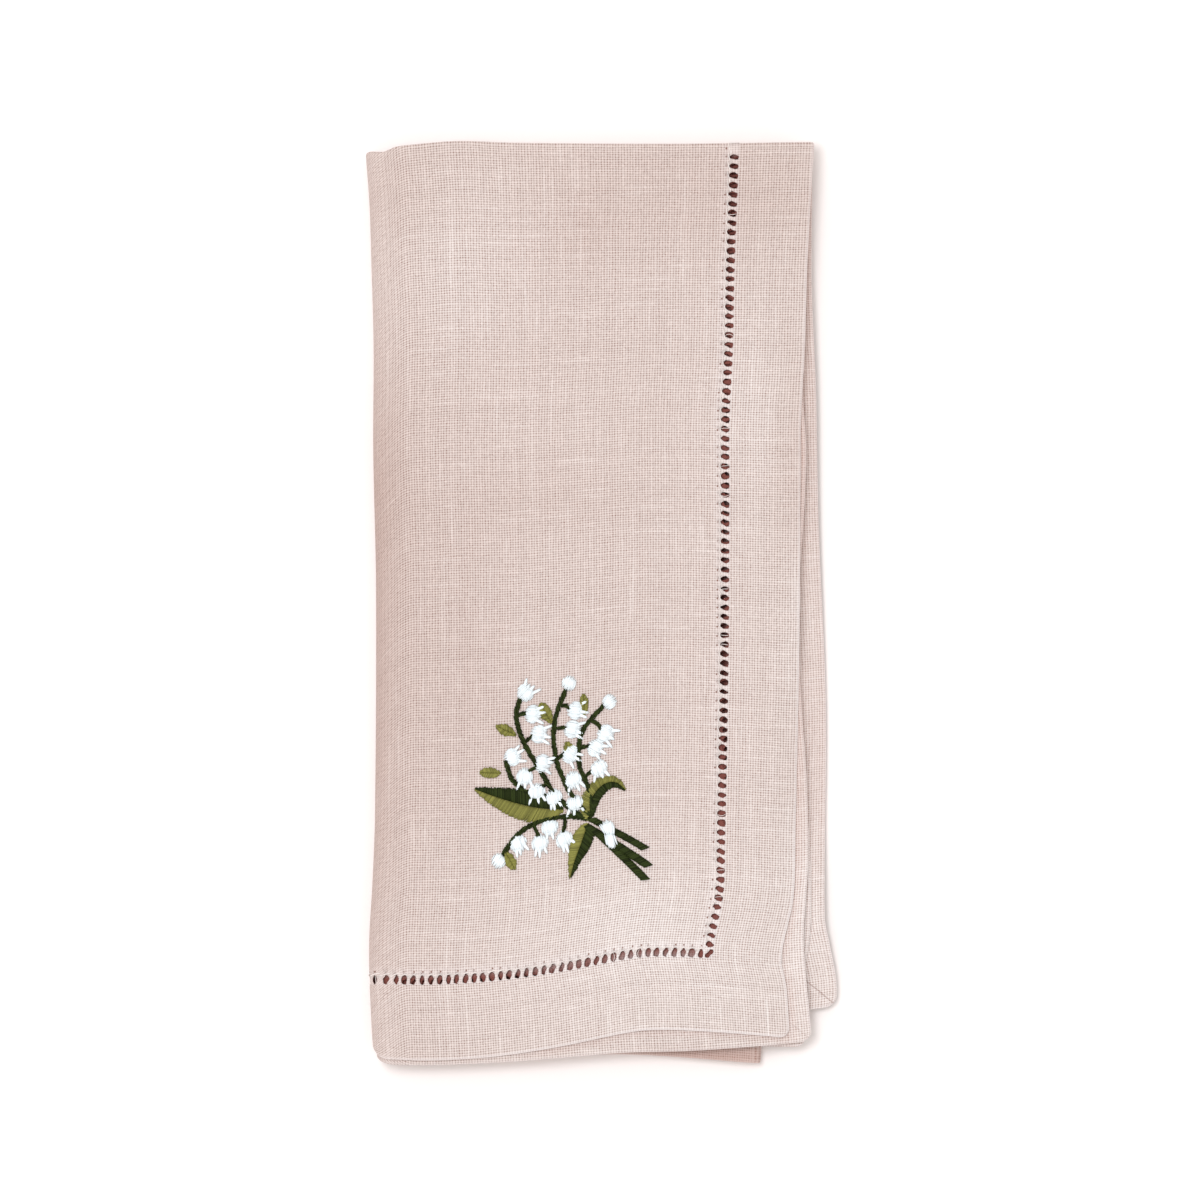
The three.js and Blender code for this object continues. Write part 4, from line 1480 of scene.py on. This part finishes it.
def stalk(thread, x0, y0, x1, y1, half_width):
    """A stalk: slanted strands across a straight bar."""
    start, end = np.array([x0, y0]), np.array([x1, y1])
    length = np.linalg.norm(end - start)
    along = (end - start) / length
    across = np.array([-along[1], along[0]])
    distance = 0.0
    while distance < length:
        middle = start + along * distance
        reach = half_width * lerp(STALK_NARROW, 1, distance / length) + thread.jitter(STRAY_HEIGHT)
        out = across * reach + along * STALK_SLANT
        stitch(thread, middle - out, middle + out, STALK_STRAND, *STALK_HEIGHTS, SATIN_TIP)
        distance += STALK_PITCH


# The tie: the strands in a layer, its length, each layer's pitch and height, how far strands rise and lean,
# then how their spread changes at the top, middle and bottom, and how much the outer ones are shorter.
TIE_STRANDS = 13
TIE_LENGTH = 8.0
TIE_LAYERS = [(0.34, 0.45), (0.204, 0.75)]
TIE_RISE = 0.35
TIE_LEAN = 0.9
TIE_SPREAD = {"top": 1.1, "middle": 0.7, "low": 0.8}
TIE_SHORTER = {"top": 0.5, "low": 0.4}
TIE_RAGGED = {"ends": 0.5, "middle": 0.4}


def make_tie(thread):
    """The white tie: upright strands over the stalks, drawn in at the middle and ragged at both ends."""
    for pitch, lift in TIE_LAYERS:
        for i in range(TIE_STRANDS):
            x = (i - (TIE_STRANDS - 1) / 2) * pitch
            ends = []
            for end, way in (("top", 1), ("low", -1)):
                reach = way * (TIE_LENGTH / 2 - TIE_SHORTER[end] * abs(x)) + thread.jitter(TIE_RAGGED["ends"])
                ends.append((x * TIE_SPREAD[end] - way * TIE_LEAN, reach))
            middle = (x * TIE_SPREAD["middle"], thread.jitter(TIE_RAGGED["middle"]))
            stitch(thread, ends[0], middle, SATIN, lift, lift + TIE_RISE)
            stitch(thread, middle, ends[1], SATIN, lift, lift + TIE_RISE)


# A twig bends up at its middle and ends inside its bell. A bell on a stem's own tip stands out from it.
TWIG_BEND = 0.6
TWIG_END = 1.4
TIP_SHARE = 0.42


def make_posy():
    """The embroidered posy: stems, leaves and stalks first, then the bells and the tie over them."""
    threads = {}
    for seed, (name, row) in enumerate(POSY_THREADS.items(), POSY_SEED):
        material = thread_material(name.replace("_", " ") + " thread", *row)
        threads[name] = Strands("posy_" + name, material, name + "_thread", seed)
    white, dark_green, olive = threads.values()
    paths = {name: smooth_path(points) for name, points in STEMS.items()}
    for path in paths.values():
        stem_stitch(dark_green, path, *STEM_ROPE)
    for leaf in LARGE_LEAVES:
        path = smooth_path(leaf["line"])
        for name, width, fullness in leaf["halves"]:
            satin_half(threads[name], path, width, fullness, leaf["lean"])
    for row in SMALL_LEAVES:
        small_leaf(olive, *row)
    for row in STALKS:
        stalk(dark_green, *row)
    for stem, share, twig, angle, prongs in BELLS:
        at, normal, length = paths[stem]
        root = at(share * length)
        centre = root + normal(share * length) * twig
        size = 1.0 if prongs else BUD_SIZE
        facing = direction_of(angle)
        if twig:
            elbow = lerp(root, centre, 0.5) + np.array([0, TWIG_BEND])
            stem_stitch(dark_green, smooth_path([root, elbow, centre - facing * TWIG_END]), *TWIG_ROPE)
        else:
            centre = root + facing * BELL_LENGTH * TIP_SHARE * size
        bell(white, centre, angle, prongs, size)
    make_tie(white)
    for thread in threads.values():
        thread.make()


# The hemstitch: its thread as in the posy's table, its seed, the two turns round a bundle, each by its place
# across the band and half its length, and their slant.
HEMSTITCH_THREAD = ((0.81, 0.73, 0.695), 0.06, 0.1, 0.2)
HEMSTITCH_SEED = 31
WHIP_TURNS = [(-1.12, 0.70), (-0.76, 0.58)]
WHIP_SLANT = 0.15
WHIP_STRAND = {"radius": 0.15, "low": -0.25, "high": 0.16, "tip": 0.8}

# The stitch from each bundle into the cloth: its start beside the bundle's middle and in the band, then its
# reach out of the band and how far that varies.
BACK_START = (0.1, 0.25)
BACK_REACH = 0.42
BACK_RAGGED = 0.12
BACK_STRAND = {"radius": 0.16, "low": 0.02, "high": 0.14, "bow": 0.04, "tip": 0.7}

# The share of holes with a stray thread across them, and how far that strays and bows.
STRAY_SHARE = 0.10
STRAY_PLACE = 0.3
STRAY_BOW = 0.2
STRAY_STRAND = {"radius": 0.09, "low": -0.32, "high": -0.2, "tip": 0.8}


def make_hemstitch(bundles):
    """The whipping thread of the hemstitch on the two sides of the band that the folded napkin shows."""
    material = thread_material("linen thread", *HEMSTITCH_THREAD)
    thread = Strands("hemstitch_thread", material, "linen", HEMSTITCH_SEED)
    for side, sign in (("right", -1), ("bottom", 1)):
        for i in range(1, HOLES):
            line = bundle_line(i)
            if line * sign < 1:
                continue
            middle = (bundles[i][2][2] + bundles[i][3][2]) / 2
            for w, half in WHIP_TURNS:
                slant = thread.jitter(WHIP_SLANT)
                start = band_place(side, middle - half, w - slant)
                end = band_place(side, middle + half, w + slant)
                thread.lay(start, end, **WHIP_STRAND)
            start = band_place(side, middle + BACK_START[0], BACK_START[1] - BAND_HALF)
            end = band_place(side, line + HOLE_PITCH, thread.jitter(BACK_RAGGED) - BAND_HALF - BACK_REACH)
            thread.lay(start, end, **BACK_STRAND)
            if thread.rng.random() < STRAY_SHARE:
                along = line + HOLE_PITCH / 2 + thread.jitter(STRAY_PLACE)
                start = band_place(side, along, -BAND_HALF)
                end = band_place(side, along + thread.jitter(STRAY_PLACE), BAND_HALF)
                thread.lay(start, end, bow=thread.jitter(STRAY_BOW), **STRAY_STRAND)
    thread.make()


FLOOR_SIDE_METRES = 3.0
FLOOR_COLOUR = (0.955, 0.905, 0.888)
WORLD_COLOUR = (1.0, 0.975, 0.955)
WORLD_STRENGTH = 0.87

KEY_PLACE_METRES = (-0.32, 0.20, 1.42)
KEY_SIDE_METRES = 0.5
KEY_COLOUR = (0.93, 0.967, 1.0)
KEY_WATTS = 9.9


def make_stage():
    """A plain pale floor, a soft cool light from the upper left, and even warm light all round."""
    half = FLOOR_SIDE_METRES / 2
    corners = [(x * half, y * half, 0) for x, y in ((-1, -1), (1, -1), (1, 1), (-1, 1))]
    mesh = bpy.data.meshes.new("floor")
    mesh.from_pydata(corners, [], [(0, 1, 2, 3)])
    shader = Shader("floor")
    shader.set(Base_Color=FLOOR_COLOUR, Roughness=0.9, Specular_IOR_Level=0.0)
    mesh.materials.append(shader.material)
    floor = add_to_scene("floor", mesh)

    lamp = bpy.data.lights.new("key", "AREA")
    lamp.energy = KEY_WATTS
    lamp.color = KEY_COLOUR
    lamp.size = KEY_SIDE_METRES
    key = add_to_scene("key", lamp)
    key.location = KEY_PLACE_METRES
    track = key.constraints.new("TRACK_TO")
    track.target = add_to_scene("aim", None)
    track.track_axis = "TRACK_NEGATIVE_Z"
    track.up_axis = "UP_Y"

    world = bpy.data.worlds.new("studio")
    world.use_nodes = True
    background = world.node_tree.nodes["Background"]
    background.inputs["Color"].default_value = (*WORLD_COLOUR, 1)
    background.inputs["Strength"].default_value = WORLD_STRENGTH
    scene = bpy.context.scene
    scene.world = world
    scene.view_settings.view_transform = "Standard"


CAMERA_HEIGHT_METRES = 2.0
FRAME_WIDTH_METRES = 0.3432
FRAME_LEVEL_METRES = 0.008
SENSOR = 36.0
FRAME_CENTRE = (-0.715, 0.715)


def make_camera():
    """The camera looks straight down, with the photo's frame near the top of the cloth."""
    lens = bpy.data.cameras.new("camera")
    lens.sensor_width = SENSOR
    lens.lens = SENSOR * (CAMERA_HEIGHT_METRES - FRAME_LEVEL_METRES) / FRAME_WIDTH_METRES
    camera = add_to_scene("camera", lens)
    camera.location = (FRAME_CENTRE[0] * MM, FRAME_CENTRE[1] * MM, CAMERA_HEIGHT_METRES)
    bpy.context.scene.camera = camera


make_camera()
make_stage()
linen_piece, bundle_rows = make_cloth(linen_material())
make_hemstitch(bundle_rows)
make_posy()
